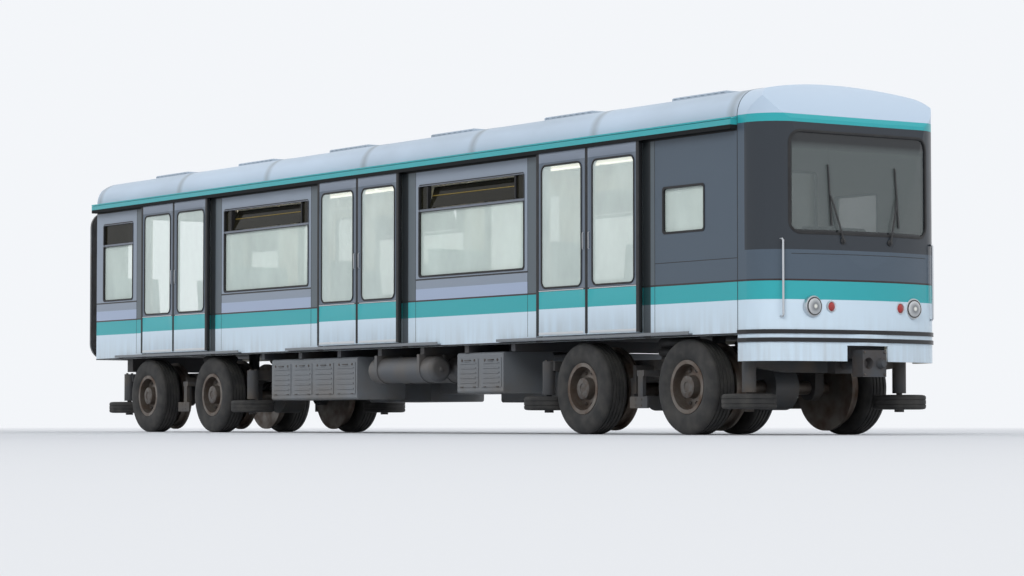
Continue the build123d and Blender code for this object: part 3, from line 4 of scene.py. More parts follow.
import bmesh
import bpy
import numpy as np
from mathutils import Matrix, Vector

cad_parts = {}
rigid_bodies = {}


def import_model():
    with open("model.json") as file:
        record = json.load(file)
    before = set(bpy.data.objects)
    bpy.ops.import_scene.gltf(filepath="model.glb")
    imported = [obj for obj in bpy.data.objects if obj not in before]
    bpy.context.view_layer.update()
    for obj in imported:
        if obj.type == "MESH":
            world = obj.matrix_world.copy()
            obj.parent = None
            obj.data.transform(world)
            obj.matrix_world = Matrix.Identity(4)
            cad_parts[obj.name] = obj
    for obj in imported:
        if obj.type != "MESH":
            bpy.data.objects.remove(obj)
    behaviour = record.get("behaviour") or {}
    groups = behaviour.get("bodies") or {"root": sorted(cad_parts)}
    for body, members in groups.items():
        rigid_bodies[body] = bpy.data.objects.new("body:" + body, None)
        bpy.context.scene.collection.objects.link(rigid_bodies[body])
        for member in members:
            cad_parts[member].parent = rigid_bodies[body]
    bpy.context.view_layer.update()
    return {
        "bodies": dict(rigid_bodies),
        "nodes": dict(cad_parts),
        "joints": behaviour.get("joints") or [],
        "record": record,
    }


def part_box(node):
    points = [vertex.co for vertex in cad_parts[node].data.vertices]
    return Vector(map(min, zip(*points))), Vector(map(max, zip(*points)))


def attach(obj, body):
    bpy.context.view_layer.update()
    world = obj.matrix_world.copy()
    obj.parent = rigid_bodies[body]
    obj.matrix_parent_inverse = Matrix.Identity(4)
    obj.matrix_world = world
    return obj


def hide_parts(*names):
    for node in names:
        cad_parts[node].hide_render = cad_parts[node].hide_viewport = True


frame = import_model()
nodes = frame["nodes"]


# Underframe. Welded steel floor, sole bars and headstocks in dark grey paint under road dust, with
# a dark speckled vinyl floor inside the saloon.


def operator(operation, swapped=False):
    """A method that puts a value, and any second one, through one Math node."""
    def method(self, *others):
        values = (self, *others)[::-1] if swapped else (self, *others)
        node = self.finish.node("Math", {"operation": operation}, *values)
        return Value(self.finish, node.outputs[0])
    return method


class Value:
    """A number that varies over a surface. Operators on it add Math nodes to its material."""

    def __init__(self, finish, socket):
        self.finish = finish
        self.socket = socket

    __add__ = __radd__ = operator("ADD")
    __mul__ = __rmul__ = operator("MULTIPLY")
    __sub__ = operator("SUBTRACT")
    __rsub__ = operator("SUBTRACT", swapped=True)
    __mod__ = operator("FLOORED_MODULO")
    __gt__ = operator("GREATER_THAN")
    __lt__ = operator("LESS_THAN")
    __abs__ = operator("ABSOLUTE")
    most = operator("MAXIMUM")
    least = operator("MINIMUM")
    sine = operator("SINE")
    root = operator("SQRT")

    def within(self, low, high):
        """1 between two values and 0 outside them."""
        return (self > low) * (self < high)

    def ramp(self, low, high):
        """0 at one value and 1 at the other, straight between them and level beyond."""
        node = self.finish.node("MapRange", {"clamp": True}, self, low, high, 0.0, 1.0)
        return Value(self.finish, node.outputs[0])


class Nodes:
    """The node tree of a material or of the studio's world."""

    def __init__(self, owner):
        owner.use_nodes = True
        self.tree = owner.node_tree

    def node(self, kind, settings=None, *values):
        """Adds a node, sets it up, then fills its sockets in order with values or links."""
        node = self.tree.nodes.new("ShaderNode" + kind)
        for name, value in (settings or {}).items():
            setattr(node, name, value)
        for i, value in enumerate(values):
            self.fill(node.inputs[i], value)
        return node

    def fill(self, socket, value):
        """Links a value or another node's output to a socket, or sets a plain number on it."""
        if isinstance(value, Value):
            value = value.socket
        if isinstance(value, bpy.types.NodeSocket):
            self.tree.links.new(value, socket)
        else:
            socket.default_value = value


class Finish(Nodes):
    """A material in the making: one Principled shader and the nodes that feed it."""

    def __init__(self, name, roughness=0.5, metallic=0.0, colour=(0.5, 0.5, 0.5), **sockets):
        self.material = bpy.data.materials.new(name)
        super().__init__(self.material)
        self.shader = self.tree.nodes["Principled BSDF"]
        self.feed("Base Color", (*colour, 1))
        self.feed("Roughness", roughness)
        self.feed("Metallic", metallic)
        for socket, value in sockets.items():
            self.feed(socket.replace("_", " "), value)

    def feed(self, name, value):
        """Fills one of the shader's own sockets."""
        self.fill(self.shader.inputs[name], value)
        return self

    def place(self):
        """The surface point's x, y and z in metres, in the car's own frame."""
        where = self.node("TexCoord").outputs["Object"]
        return [Value(self, output) for output in self.node("SeparateXYZ", None, where).outputs]

    def noise(self, scale, detail=3.0, stretch=(1, 1, 1)):
        """Cloudy noise from 0 to 1, its scale multiplied along each axis."""
        mapping = self.node("Mapping", None, self.node("TexCoord").outputs["Object"])
        mapping.inputs["Scale"].default_value = stretch
        cloud = self.node("TexNoise", None, mapping.outputs[0])
        cloud.inputs["Scale"].default_value = scale
        cloud.inputs["Detail"].default_value = detail
        return Value(self, cloud.outputs[0])

    def tint(self, share, first, second):
        """Two colours mixed by a share, as the surface's own colour."""
        return self.feed("Base Color", blend(share, first, second))

    def clouded(self, first, second, scale, share=1.0, rough=None):
        """A colour with soft patches of a second one. Rough is the roughness and what patches add."""
        patches = self.noise(scale, 5).ramp(0.38, 0.78) * share
        if rough:
            self.feed("Roughness", patches * rough[1] + rough[0])
        return self.tint(patches, first, second)

    def bump(self, height, depth, strength=0.4):
        """Raises the surface by height times depth, in metres."""
        node = self.node("Bump")
        node.inputs["Strength"].default_value = strength
        node.inputs["Distance"].default_value = depth
        self.fill(node.inputs["Height"], height)
        return self.feed("Normal", node.outputs[0])

    def grained(self, scale, detail, depth, strength=0.4):
        """A fine even unevenness, such as a casting's skin or sprayed paint."""
        return self.bump(self.noise(scale, detail), depth, strength)


def blend(share, first, second):
    """Two colours mixed, the second by a share from 0 to 1 that varies over the surface."""
    node = share.finish.node("Mix", {"data_type": "RGBA"}, share)
    for socket, colour in zip((node.inputs[6], node.inputs[7]), (first, second)):
        share.finish.fill(socket, (*colour, 1) if isinstance(colour, tuple) else colour)
    return node.outputs[2]


def bands(along, colour, steps):
    """Colours by position: the first one, then each step's colour from its own start onwards."""
    for start, band in steps:
        colour = blend(along > start, colour, band)
    return colour


def dress(finish, *names):
    """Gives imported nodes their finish."""
    for name in names:
        materials = nodes[name].data.materials
        materials.clear()
        materials.append(finish.material)


def linear(red, green, blue):
    """A colour on the shader's linear scale, from the 0 to 255 scale that a screen shows."""
    return tuple(((value / 255 + 0.055) / 1.055) ** 2.4 for value in (red, green, blue))


FLOOR_TOP = 1.12
SILL_START = 1.05
SADDLE = linear(88, 78, 66)
frame_paint = Finish("frame paint", 0.6)
x, y, z = frame_paint.place()
dust = frame_paint.noise(2.5, 5).ramp(0.4, 0.8)
painted = blend(dust * 0.6, linear(60, 62, 66), SADDLE)
speckle = frame_paint.noise(260, 1).ramp(0.55, 0.62)
vinyl = blend(speckle, linear(84, 86, 90), linear(118, 120, 122))
sill = blend(abs(y) > SILL_START, vinyl, linear(150, 152, 154))
frame_paint.tint(z > FLOOR_TOP - 0.001, painted, sill)
frame_paint.grained(120, 2, 0.0008)
dress(frame_paint, "underframe")


# Load wheels. Each axle is one turned forging with its steel safety wheels; on the rims outside
# them sit ribbed rubber tyres, and ten nuts hold each rim to its hub.


class Shape:
    """Points and faces gathered from several surfaces, made into one object at the end."""

    def __init__(self):
        self.points = []
        self.faces = []
        self.count = 0

    def add(self, points, faces):
        """Adds a block of points and the faces between them."""
        points = np.reshape(points, (-1, 3))
        self.points.append(points)
        self.faces += (np.asarray(faces) + self.count).tolist()
        self.count += len(points)
        return self

    def grid(self, points, around=False):
        """A skin over rows and columns of points, each row closed on itself if it runs around."""
        rows, columns = points.shape[:2]
        index = np.arange(rows * columns).reshape(rows, columns)
        if around:
            index = np.hstack([index, index[:, :1]])
        quads = [index[:-1, :-1], index[1:, :-1], index[1:, 1:], index[:-1, 1:]]
        return self.add(points, np.stack(quads, axis=-1).reshape(-1, 4))

    def loft(self, rings, caps=True):
        """A skin through closed rings of points, one after the other, with flat ends."""
        rings = np.asarray(rings, float)
        self.grid(rings, around=True)
        order = np.arange(rings.shape[1])[None]
        if caps:
            self.add(rings[0], order[:, ::-1])
            self.add(rings[-1], order)
        return self

    def hoop(self, rings):
        """A skin through closed rings whose last one joins the first, like a seal."""
        return self.loft([*rings, rings[0]], caps=False)

    def turned(self, profile, centre, axis, steps=24, caps=True, way=1):
        """A profile of (radius, distance along) pairs, each point carried round the axis."""
        profile = np.multiply(profile, (1.0, way))
        points = np.tile(np.array(centre, float), (len(profile), steps, 1))
        points[..., [(axis + 1) % 3, (axis + 2) % 3]] += profile[:, :1, None] * circle(1, steps)
        points[..., axis] += profile[:, 1:]
        return self.loft(points, caps)

    def studs(self, spots, axis, profile, way=1):
        """One six-sided fastener at each spot, standing along the axis or against it."""
        for spot in spots:
            self.turned(profile, spot, axis, 6, way=way)
        return self

    def bar(self, low, high, along=0, edge=0.004, corner=None, steps=3):
        """A box whose four long edges are rounded and whose ends are bevelled."""
        low, high = np.minimum(low, high), np.maximum(low, high)
        a, b = [axis for axis in range(3) if axis != along]
        corner = edge if corner is None else corner
        foot, head = low[along], high[along]
        bevels = ((edge, foot), (0, foot + edge), (0, head - edge), (edge, head))
        return self.loft(loops((low[a], high[a], low[b], high[b]), corner, bevels, along, steps=steps))

    def tube(self, path, radius, steps=10):
        """A round rod: at each point of a flat path, a circle across its heading."""
        path = np.asarray(path, float)
        normal = np.linalg.svd(path - path.mean(axis=0))[2][2]
        across = np.cross(np.gradient(path, axis=0), normal)
        across /= np.linalg.norm(across, axis=1, keepdims=True)
        return self.carried(path, across, normal, circle(radius, steps))

    def carried(self, path, side, out, section, closed=False):
        """A section carried along a path: each path point plus side times u plus out times v. Side
        and out are one direction each, or one for every point."""
        section = np.asarray(section, float)
        side, out = (np.broadcast_to(array, np.shape(path))[:, None] for array in (side, out))
        rings = path[:, None] + side * section[:, :1] + out * section[:, 1:]
        return self.hoop(rings) if closed else self.loft(rings)

    def mirrored(self):
        """Adds the same surfaces again on the other side of the car."""
        self.points.append(np.vstack(self.points) * (1, -1, 1))
        self.faces += [[self.count + i for i in face[::-1]] for face in self.faces]
        self.count *= 2
        return self

    def made(self, name, finish, *replaced, slot=None, body="car_body", crease=32):
        """The object itself: doubles merged, faces outwards, sharp edges kept, on its body."""
        mesh = bpy.data.meshes.new(name)
        mesh.from_pydata(np.vstack(self.points).tolist(), [], self.faces)
        work = bmesh.new()
        work.from_mesh(mesh)
        bmesh.ops.remove_doubles(work, verts=work.verts, dist=0.00002)
        bmesh.ops.recalc_face_normals(work, faces=work.faces)
        work.to_mesh(mesh)
        work.free()
        mesh.polygons.foreach_set("use_smooth", [True] * len(mesh.polygons))
        mesh.set_sharp_from_angle(angle=math.radians(crease))
        mesh.materials.append(finish.material)
        piece = bpy.data.objects.new(name, mesh)
        bpy.context.scene.collection.objects.link(piece)
        if body:
            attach(piece, body)
        if replaced:
            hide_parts(*replaced)
        return piece


def circle(radius, count, start=0.0):
    """Pairs round a circle: the radius times each angle's cosine and sine."""
    angle = start + np.linspace(0, 2 * np.pi, count, endpoint=False)
    return radius * np.column_stack([np.cos(angle), np.sin(angle)])


def mm(*numbers):
    """A profile's points: every two numbers are a pair of millimetres, given back in metres."""
    return np.reshape(numbers, (-1, 2)) / 1000


def round_loop(u0, u1, v0, v1, corner, steps=6, inset=0.0):
    """Points round a rectangle, moved in by an inset: each corner's centre plus its radius, turned."""
    corner = max(corner - inset, 0.0001)
    turn = np.linspace(0, np.pi / 2, steps + 1) + np.pi / 2 * np.arange(4)[:, None]
    reach_u = (u1 - u0) / 2 - inset - corner
    reach_v = (v1 - v0) / 2 - inset - corner
    u = (u0 + u1) / 2 + reach_u * np.array([[1], [-1], [-1], [1]]) + corner * np.cos(turn)
    v = (v0 + v1) / 2 + reach_v * np.array([[1], [1], [-1], [-1]]) + corner * np.sin(turn)
    return np.column_stack([u.ravel(), v.ravel()])


def loops(frame, corner, profile, axis, base=0.0, way=1, steps=6):
    """A rounded rectangle for each (inset, distance) pair of a profile: moved in by the inset, and
    along the axis by the distance from a base."""
    return [np.insert(round_loop(*frame, corner, steps, inset), axis, base + way * at, axis=1)
            for inset, at in profile]


def spots_round(centre, axis, radius, count, start=0.0):
    """Points evenly round a centre: it plus a circle's pairs on the two axes across the given one."""
    spots = np.tile(np.array(centre, float), (count, 1))
    spots[:, [other for other in range(3) if other != axis]] += circle(radius, count, start)
    return spots


def tyre_section(width, radius, bore, grooves, groove, deep):
    """A tyre's section as (radius, along) pairs: bead, full sidewall, shoulder and grooved tread.
    The flank's points are shares of its height over the bore and of half its width."""
    flank = np.array([(0, 0.8), (0.1, 0.93), (0.35, 1), (0.62, 0.985), (0.84, 0.93), (0.943, 0.84),
                      (0.986, 0.73), (1, 0.68)]) * (radius - bore, width / 2) + (bore, 0)
    cut = np.array([(0, 1), (-deep, 0.6), (-deep, -0.6), (0, -1)]) * (1, groove)
    tread = [cut + (radius, at) for at in grooves]
    return np.vstack([flank, *tread, flank[::-1] * (1, -1)])


TYRE_RADIUS = 0.48
TYRE_TRACK = 1.98
RIM_NUTS = 10
NUT_CIRCLE = 0.168
RIM_FACE = 1.018
HUB_FACE = 1.1
NUT = mm(17.5, 0, 17.5, 16, 14.5, 19, 8, 20, 7, 30)
HUB_CAP = mm(112, 0, 112, 4, 100, 10, 52, 11, 48, 4)
wheel_steel = Finish("wheel steel", metallic=0.7)
wheel_steel.clouded(linear(112, 106, 100), linear(86, 66, 52), 6, rough=(0.38, 0.3)).grained(90, 3, 0.0008)
tyre_rubber = Finish("tyre rubber", 0.78)
tyre_rubber.clouded((0.019, 0.019, 0.019), (0.06, 0.056, 0.051), 7, 0.7).grained(80, 3, 0.001)
nut_steel = Finish("nut steel", 0.45, 0.8).clouded(linear(100, 97, 94), linear(78, 64, 54), 20)
section = tyre_section(0.28, TYRE_RADIUS - 0.0003, 0.2703, (0.066, 0.022, -0.022, -0.066), 0.007, 0.01)
for number in (1, 2, 3, 4):
    axle = f"axle_{number}"
    low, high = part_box(axle)
    centre_x = (low.x + high.x) / 2
    tyres = Shape().turned(section, (centre_x, TYRE_TRACK / 2, TYRE_RADIUS), 1, 72, caps=False)
    nuts = Shape().turned(HUB_CAP, (centre_x, HUB_FACE, TYRE_RADIUS), 1, 40)
    nuts.studs(spots_round((centre_x, RIM_FACE, TYRE_RADIUS), 1, NUT_CIRCLE, RIM_NUTS), 1, NUT)
    tyres.mirrored().made(f"load_tyres_{number}", tyre_rubber, f"tyres_{number}", slot="tyre", body=axle)
    nuts.mirrored().made(f"rim_nuts_{number}", nut_steel, slot="wheel_steel", body=axle)
dress(wheel_steel, "axle_1", "axle_2", "axle_3", "axle_4")


# Bogies. Fabricated frames in dark paint under brown brake dust, each carrying two banded motors
# with their gear cases, two-fold air springs, brake blocks and collector shoes. Bolts are added.
BOX_BOLTS = 8
BOX_BOLT_CIRCLE = 0.104
BOX_FACE = 0.555
AXLE_REACH = 0.9
# Bolts: distance along from the bogie's middle, then (across, up) of each
PLATE_BOLTS = (1.72, mm(934, 780, 1006, 780))
SHOE_BOLTS = (0.05, mm(1045, 300, 1045, 360))
bogie_paint = Finish("bogie paint", 0.6)
bogie_paint.clouded(linear(60, 61, 63), SADDLE, 3.5, 0.8).grained(90, 3, 0.001)
motor_paint = Finish("motor paint", 0.5)
motor_paint.clouded(linear(76, 79, 82), linear(90, 80, 70), 5, 0.7).grained(160, 2, 0.0008)
spring_rubber = Finish("spring rubber", 0.62).clouded((0.02, 0.02, 0.021), (0.05, 0.047, 0.043), 9, 0.6)
for end in ("rear", "front"):
    dress(bogie_paint, f"bogie_{end}")
    dress(motor_paint, f"drives_{end}")
    dress(spring_rubber, f"air_springs_{end}")
    low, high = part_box(f"air_springs_{end}")
    centre_x = (low.x + high.x) / 2
    bolts = Shape()
    for way in (-1, 1):
        box = (centre_x + way * AXLE_REACH, BOX_FACE, TYRE_RADIUS)
        bolts.studs(spots_round(box, 1, BOX_BOLT_CIRCLE, BOX_BOLTS, 0.2), 1, mm(12, 0, 12, 9, 9, 11))
        for (reach, spots), axis, bolt in ((PLATE_BOLTS, 2, mm(16, 0, 16, 12, 12, 15)),
                                           (SHOE_BOLTS, 1, mm(9, 0, 9, 5))):
            bolts.studs([(centre_x + way * reach, *spot) for spot in spots], axis, bolt)
    bolts.mirrored().made(f"bogie_bolts_{end}", nut_steel, slot="bogie_steel", body=f"bogie_{end}")


# Guide wheels. Eight horizontal wheels, each a smooth narrow tyre on a dished steel disc, with six
# bolts round its boss.
BOSS_BOLT_CIRCLE = 0.108
hub_paint = Finish("hub paint", metallic=0.3).clouded(linear(100, 103, 106), linear(88, 76, 64), 8, 0.7)
section = tyre_section(0.15, 0.27, 0.166, (0.024, -0.024), 0.004, 0.006)
half_disc = mm(30.5, -74, 60, -75, 63, -70, 66, -20, 78, -12, 150, -12, 158, -20, 160, -56, 170, -62)
disc = np.vstack([half_disc, half_disc[::-1] * (1, -1), half_disc[:1]])
for number in range(1, 9):
    node = f"guide_wheel_{number}"
    low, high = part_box(node)
    centre = (low + high) / 2
    tyre = Shape().turned(section, centre, 2, 64, caps=False)
    tyre.made(f"guide_tyre_{number}", tyre_rubber, node, slot="guide_tyre", body=node)
    hub = Shape().turned(disc, centre, 2, 48, caps=False)
    for face in (-1, 1):
        hub.studs(spots_round((*centre[:2], centre.z + face * 0.012), 2, BOSS_BOLT_CIRCLE, 6), 2,
                  mm(11, 0, 11, 8, 8, 10), face)
    hub.made(f"guide_hub_{number}", hub_paint, slot="wheel_steel", body=node)


# Couplers. Cast steel: an automatic coupler with a cone and a cup under the cab, and a round-flanged
# half drawbar under the gangway. Bolts hold the coupler's face and both brackets.
COUPLER_HEIGHT = 0.7
COUPLER_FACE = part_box("front_coupler")[1].x - 0.06
FACE_BOLT = (0.128, 0.108)
BRACKETS = (7.13, -7.07)
BRACKET_BOLT = (0.035, 0.12, 0.745)
coupler_steel = Finish("coupler steel", metallic=0.4)
coupler_steel.clouded(linear(68, 71, 75), linear(74, 62, 52), 5, 0.8, (0.42, 0.3)).grained(110, 3, 0.001)
dress(coupler_steel, "drawbar", "front_coupler")
bolts = Shape()
shift, *spot = BRACKET_BOLT
for way in (-1, 1):
    bolts.studs([(COUPLER_FACE, FACE_BOLT[0], COUPLER_HEIGHT + way * FACE_BOLT[1])], 0,
                mm(13, 0, 13, 8, 10, 11))
    bolts.studs([(bracket + way * shift, *spot) for bracket in BRACKETS], 1, mm(12, 0, 12, 8, 9, 10))
bolts.mirrored().made("coupler_bolts", nut_steel, slot="frame_steel")


# Equipment cases. Folded steel boxes hung from the sole bars, with louvred doors that hinge at the
# foot and close with quarter-turn catches.
CASE_TOP = 0.9
CASE_FACE = 1.098
CASE_DOOR = 0.5
CASE_MARGIN = 0.035
DOOR_EDGE = 0.065
CATCH_INSET = 0.07
CATCH_DROP = 0.022
HINGE_HALF = 0.024
CATCH = mm(15, -1, 15, 4, 12, 6, 5, 6, 4, 3)
GRIP = mm(-50, -2, -50, 17, -42, 23, 42, 23, 50, 17, 50, -2)
case_paint = Finish("case paint")
x, y, z = case_paint.place()
film = case_paint.noise(3, 5).ramp(0.38, 0.8) * z.ramp(0.9, 0.35)
case_paint.tint(film * 0.7, linear(104, 108, 112), linear(96, 84, 70)).grained(140, 2, 0.0006)
dress(case_paint, "equipment_cases")
# Cases: side of the car, start, end, depth
CASES = [
    (1, -2.4, -0.9415, 0.52),
    (1, -0.7415, 0.396, 0.43),
    (1, 0.596, 2.75, 0.54),
    (-1, -2.4, -0.353, 0.5),
    (-1, 1.8265, 2.75, 0.45),
]
fittings = Shape()
for side, start, end, depth in CASES:
    face = side * CASE_FACE
    edges = np.linspace(start, end, max(1, round((end - start) / CASE_DOOR)) + 1)
    low = CASE_TOP - depth + DOOR_EDGE
    catch_level = CASE_TOP - DOOR_EDGE - CATCH_DROP
    for left, right in zip(edges[:-1] + CASE_MARGIN, edges[1:] - CASE_MARGIN):
        for at in (left + CATCH_INSET, right - CATCH_INSET):
            fittings.turned(CATCH, (at, face, catch_level), 1, 20, way=side)
            fittings.bar((at - HINGE_HALF, face - side * 0.002, low - 0.002),
                         (at + HINGE_HALF, face + side * 0.007, low + 0.008), 0, 0.002, 0.004)
        grip = GRIP * (1, side) + ((left + right) / 2, face)
        fittings.tube(np.insert(grip, 2, catch_level, axis=1), 0.005, 8)
fittings.made("case_fittings", nut_steel, slot="case_paint")


# Air tanks and pipes. Two welded steel tanks in straps, and three pipes that run under the cross
# members in clips and turn up into the floor at both ends.
PIPE_RUN = (-2.56, 2.91)
PIPE_BEND = 0.06
PIPE_HEAD = 1.019
PIPES = mm(-170, 16, -110, 12, 30, 16)
CLIPS = np.linspace(-2.61, 2.96, 7)[1:-1]
CLIP_HALF = 0.015
CLIP_EDGE = 0.004
TANKS = (-0.64, -0.99)
TANK_HEIGHT = 0.73
PLUG = mm(36, -10, 36, 4, 22, 6, 22, 16, 18, 19)
tank_paint = Finish("tank paint", 0.45)
tank_paint.clouded(linear(74, 77, 81), linear(92, 82, 70), 3, 0.7).grained(120, 2, 0.0006)
dress(tank_paint, "air_tanks")
tank_low, tank_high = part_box("air_tanks")
turn = np.linspace(0, np.pi / 2, 7)
bend = PIPE_BEND * (1 - np.column_stack([np.sin(turn), np.cos(turn)]))
pipework = Shape()
for across, radius in PIPES:
    level = CASE_TOP - radius - 0.002
    run = np.vstack([[(PIPE_RUN[0], PIPE_HEAD)], bend[::-1] + (PIPE_RUN[0], level),
                     bend * (-1, 1) + (PIPE_RUN[1], level), [(PIPE_RUN[1], PIPE_HEAD)]])
    pipework.tube(np.insert(run, 1, across, axis=1), radius, 12)
    for clip in CLIPS:
        half = radius + CLIP_EDGE
        pipework.bar((clip - CLIP_HALF, across - half, CASE_TOP - 2 * radius - 0.007),
                     (clip + CLIP_HALF, across + half, CASE_TOP - 0.0005), 0, 0.002, radius * 0.9, 5)
for across in TANKS:
    for end, way in ((tank_low.x, -1), (tank_high.x, 1)):
        pipework.studs([(end, across, TANK_HEIGHT)], 0, PLUG, way)
pipework.made("floor_pipes", tank_paint, slot="tank_paint")


# Body sides. Each is one long steel panel, painted white below, jade at the waist and in greys round
# the windows. Black is painted above the recess line as the deep shade under the door track's cover,
# and a band beside each door's leaves is darkened as painted shade. Inside it is cream laminate.
WHITE = (0.525, 0.63, 0.715)
JADE = linear(46, 154, 160)
LAVENDER = linear(150, 163, 186)
GREY = linear(128, 138, 151)
CAB_GREY = linear(70, 82, 94)
PILLAR = linear(82, 91, 97)
BLACK = (0.01, 0.011, 0.012)
BROWN = linear(46, 34, 36)
CREAM = linear(206, 202, 186)
DUST = linear(146, 140, 132)
STRIPE_LOW = 1.316
STRIPE_TOP = 1.496
LINE_TOP = 1.514
STRIP_TOP = 1.64
GASKET = 1.75
RECESS = 2.975
SKIN = 1.12
SIDE = 1.15
# Width of the painted shade band beside each door's leaves
DOOR_SHADE_BAND = 0.105
BAY_FROM_DOOR = 1.19
BAY_TO_NEXT = 3.46
BODY_REAR = -7.2
NOSE_SEAM = 6.95
CAB_START = 5.6
CAB_LINE = 1.73
SILL_LOW = 1.045
WALL_LOW = 0.985
JOINT = 0.003
JOINT_PROUD = 0.0012
DOORS = [(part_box(f"leaf_right_{i}_rear")[1].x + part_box(f"leaf_right_{i}_front")[0].x) / 2 for i in (1, 2, 3)]


def weathered(paint, z, low, high, colour=WHITE):
    """A body colour under road film that thickens downwards, in faint upright streaks."""
    streaks = paint.noise(5, 4, (2.5, 2.5, 0.25)).ramp(0.35, 0.8)
    return blend(z.ramp(high, low) * streaks * 0.45, colour, DUST)


def glossed(paint, depth=0.0012):
    """Coach paint's clear coat: broad patches of slightly different gloss and a faint orange peel."""
    paint.feed("Roughness", paint.noise(1.6, 4, (1, 1, 3)) * 0.16 + 0.24)
    paint.feed("Coat Weight", 0.1)
    paint.feed("Specular IOR Level", 0.3)
    return paint.bump(paint.noise(1.8, 2, (0.5, 1, 1)) + paint.noise(240, 1) * 0.02, depth, 0.3)


side_paint = Finish("side paint")
x, y, z = side_paint.place()
leaf_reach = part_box("leaf_right_1_front")[1].x - DOORS[0]
bays = x < DOORS[0] - BAY_FROM_DOOR
for door in DOORS[:-1]:
    bays = bays + x.within(door + BAY_FROM_DOOR, door + BAY_TO_NEXT)
lower = bands(z, weathered(side_paint, z, 0.98, 1.32), [(STRIPE_LOW, JADE), (STRIPE_TOP, BROWN)])
bay = bands(z, LAVENDER, [(STRIP_TOP, GREY), (GASKET - 0.012, BLACK), (GASKET + 0.006, GREY)])
upper = blend(x > CAB_START, blend(bays, PILLAR, bay), CAB_GREY)
colour = blend(z > LINE_TOP, lower, upper)
# Painted shade: a band beside each door's leaves, mixed 0.88 of the way to black, for the shade that the proud
# leaves cast
painted_door_shade = sum(abs(x - door).within(leaf_reach - 0.02, leaf_reach + DOOR_SHADE_BAND) for door in DOORS)
colour = blend(painted_door_shade * 0.88, colour, BLACK)
# Painted shade: the wall above the recess line is black, for the deep shade under the door track's cover
colour = blend(z > RECESS, colour, BLACK)
side_paint.tint(abs(y) < SKIN, colour, CREAM)
glossed(side_paint)
dress(side_paint, "side_right", "side_left")
seal_rubber = Finish("seal rubber", 0.6)
seal_rubber.clouded((0.01, 0.01, 0.011), (0.034, 0.033, 0.032), 12, 0.5).grained(90, 2, 0.0006)
joints = Shape()
for at in [door + reach for door in DOORS for reach in (-BAY_FROM_DOOR, BAY_FROM_DOOR)]:
    at, foot = (at, SILL_LOW) if at < CAB_START else (CAB_START, WALL_LOW)
    joints.bar((at - JOINT, SIDE - 0.001, foot), (at + JOINT, SIDE + JOINT_PROUD, RECESS), 2, 0.0006)
joints.bar((CAB_START, SIDE - 0.001, CAB_LINE - JOINT),
           (NOSE_SEAM - 0.002, SIDE + JOINT_PROUD, CAB_LINE + JOINT), 0, 0.0006)
joints.bar((BODY_REAR + 0.002, SIDE - 0.002, 0.981), (NOSE_SEAM - 0.002, SIDE + 0.006, 0.996), 0, 0.003)
joints.mirrored().made("side_joints", seal_rubber, slot="body_paint")


# Side windows. Toughened glass held in rubber frames with a metal bar under each upper light; the
# long windows' upper lights hang inwards from the bar, with a thin yellow edge.
UPPER_LIGHT = 2.552
BAR_LEVEL = (2.521, 2.545)
HEAD_LEVEL = (2.8075, 2.8175)
LIGHT_FROM_DOOR = (1.445, 3.205)
# The yellow edge and the hinges under it, as (out, up) at their low and high corners
EDGE = mm(1087.5, 2692, 1094.5, 2701)
HINGE = mm(1088, 2552, 1108, 2572)
HINGE_INSET = 0.06
window_glass = Finish("window glass", Specular_IOR_Level=0.13)
x, y, z = window_glass.place()
upper_light = z > UPPER_LIGHT
haze = window_glass.noise(2.5, 4, (1, 1, 0.6)).ramp(0.35, 0.85)
# Painted reflection: the upper lights' glass is near-black brown and nearly opaque, for the dark surroundings
# that the inward-tilted panes reflect
window_glass.tint(upper_light, (0.76, 0.86, 0.81), (0.014, 0.013, 0.008))
window_glass.feed("Alpha", upper_light * 0.46 + haze * 0.12 + 0.41)
window_glass.feed("Roughness", haze * 0.06 + 0.03)
dress(window_glass, "side_glass")
frame_rubber = Finish("frame rubber")
x, y, z = frame_rubber.place()
metal = z.within(*BAR_LEVEL).most(z.within(*HEAD_LEVEL))
frame_rubber.tint(metal, (0.013, 0.013, 0.014), linear(98, 104, 114))
frame_rubber.feed("Roughness", metal * -0.25 + 0.62)
frame_rubber.grained(120, 2, 0.0005)
dress(frame_rubber, "window_frames")
yellow_edge = Finish("yellow edge", 0.55).clouded(linear(134, 112, 36), linear(98, 84, 36), 30, 0.8)
edges = Shape()
for door in DOORS[:-1]:
    first, last = np.add(LIGHT_FROM_DOOR, door)
    edges.bar((first + 0.01, *EDGE[0]), (last - 0.01, *EDGE[1]), 0, 0.001, 0.002)
    for at in (first + HINGE_INSET, last - HINGE_INSET):
        edges.bar((at - 0.012, *HINGE[0]), (at + 0.012, *HINGE[1]), 0, 0.002, 0.003)
edges.mirrored().made("upper_light_edges", yellow_edge, slot="window_rubber")


# Door tracks. A jade sheet cover over the ledge that the leaves hang from, closed by end plates, with
# a rolled rain gutter above. The lower guides are bare steel; the ledge and track under the cover are black,
# partly a black rail and partly painted shade under the cover.
COVER_LOW = 3.032
GUIDE_TOP = 1.5
GUTTER = [(1.15, 3.088), (1.23, 3.088), (1.2375, 3.091), (1.2385, 3.099), (1.237, 3.107),
          (1.231, 3.104), (1.228, 3.097), (1.22, 3.094), (1.15, 3.118)]
track_paint = Finish("track paint", Specular_IOR_Level=0.3)
x, y, z = track_paint.place()
film = track_paint.noise(3, 4, (0.6, 1, 2)).ramp(0.45, 0.85) * 0.3
jade = blend(film, JADE, linear(92, 142, 146))
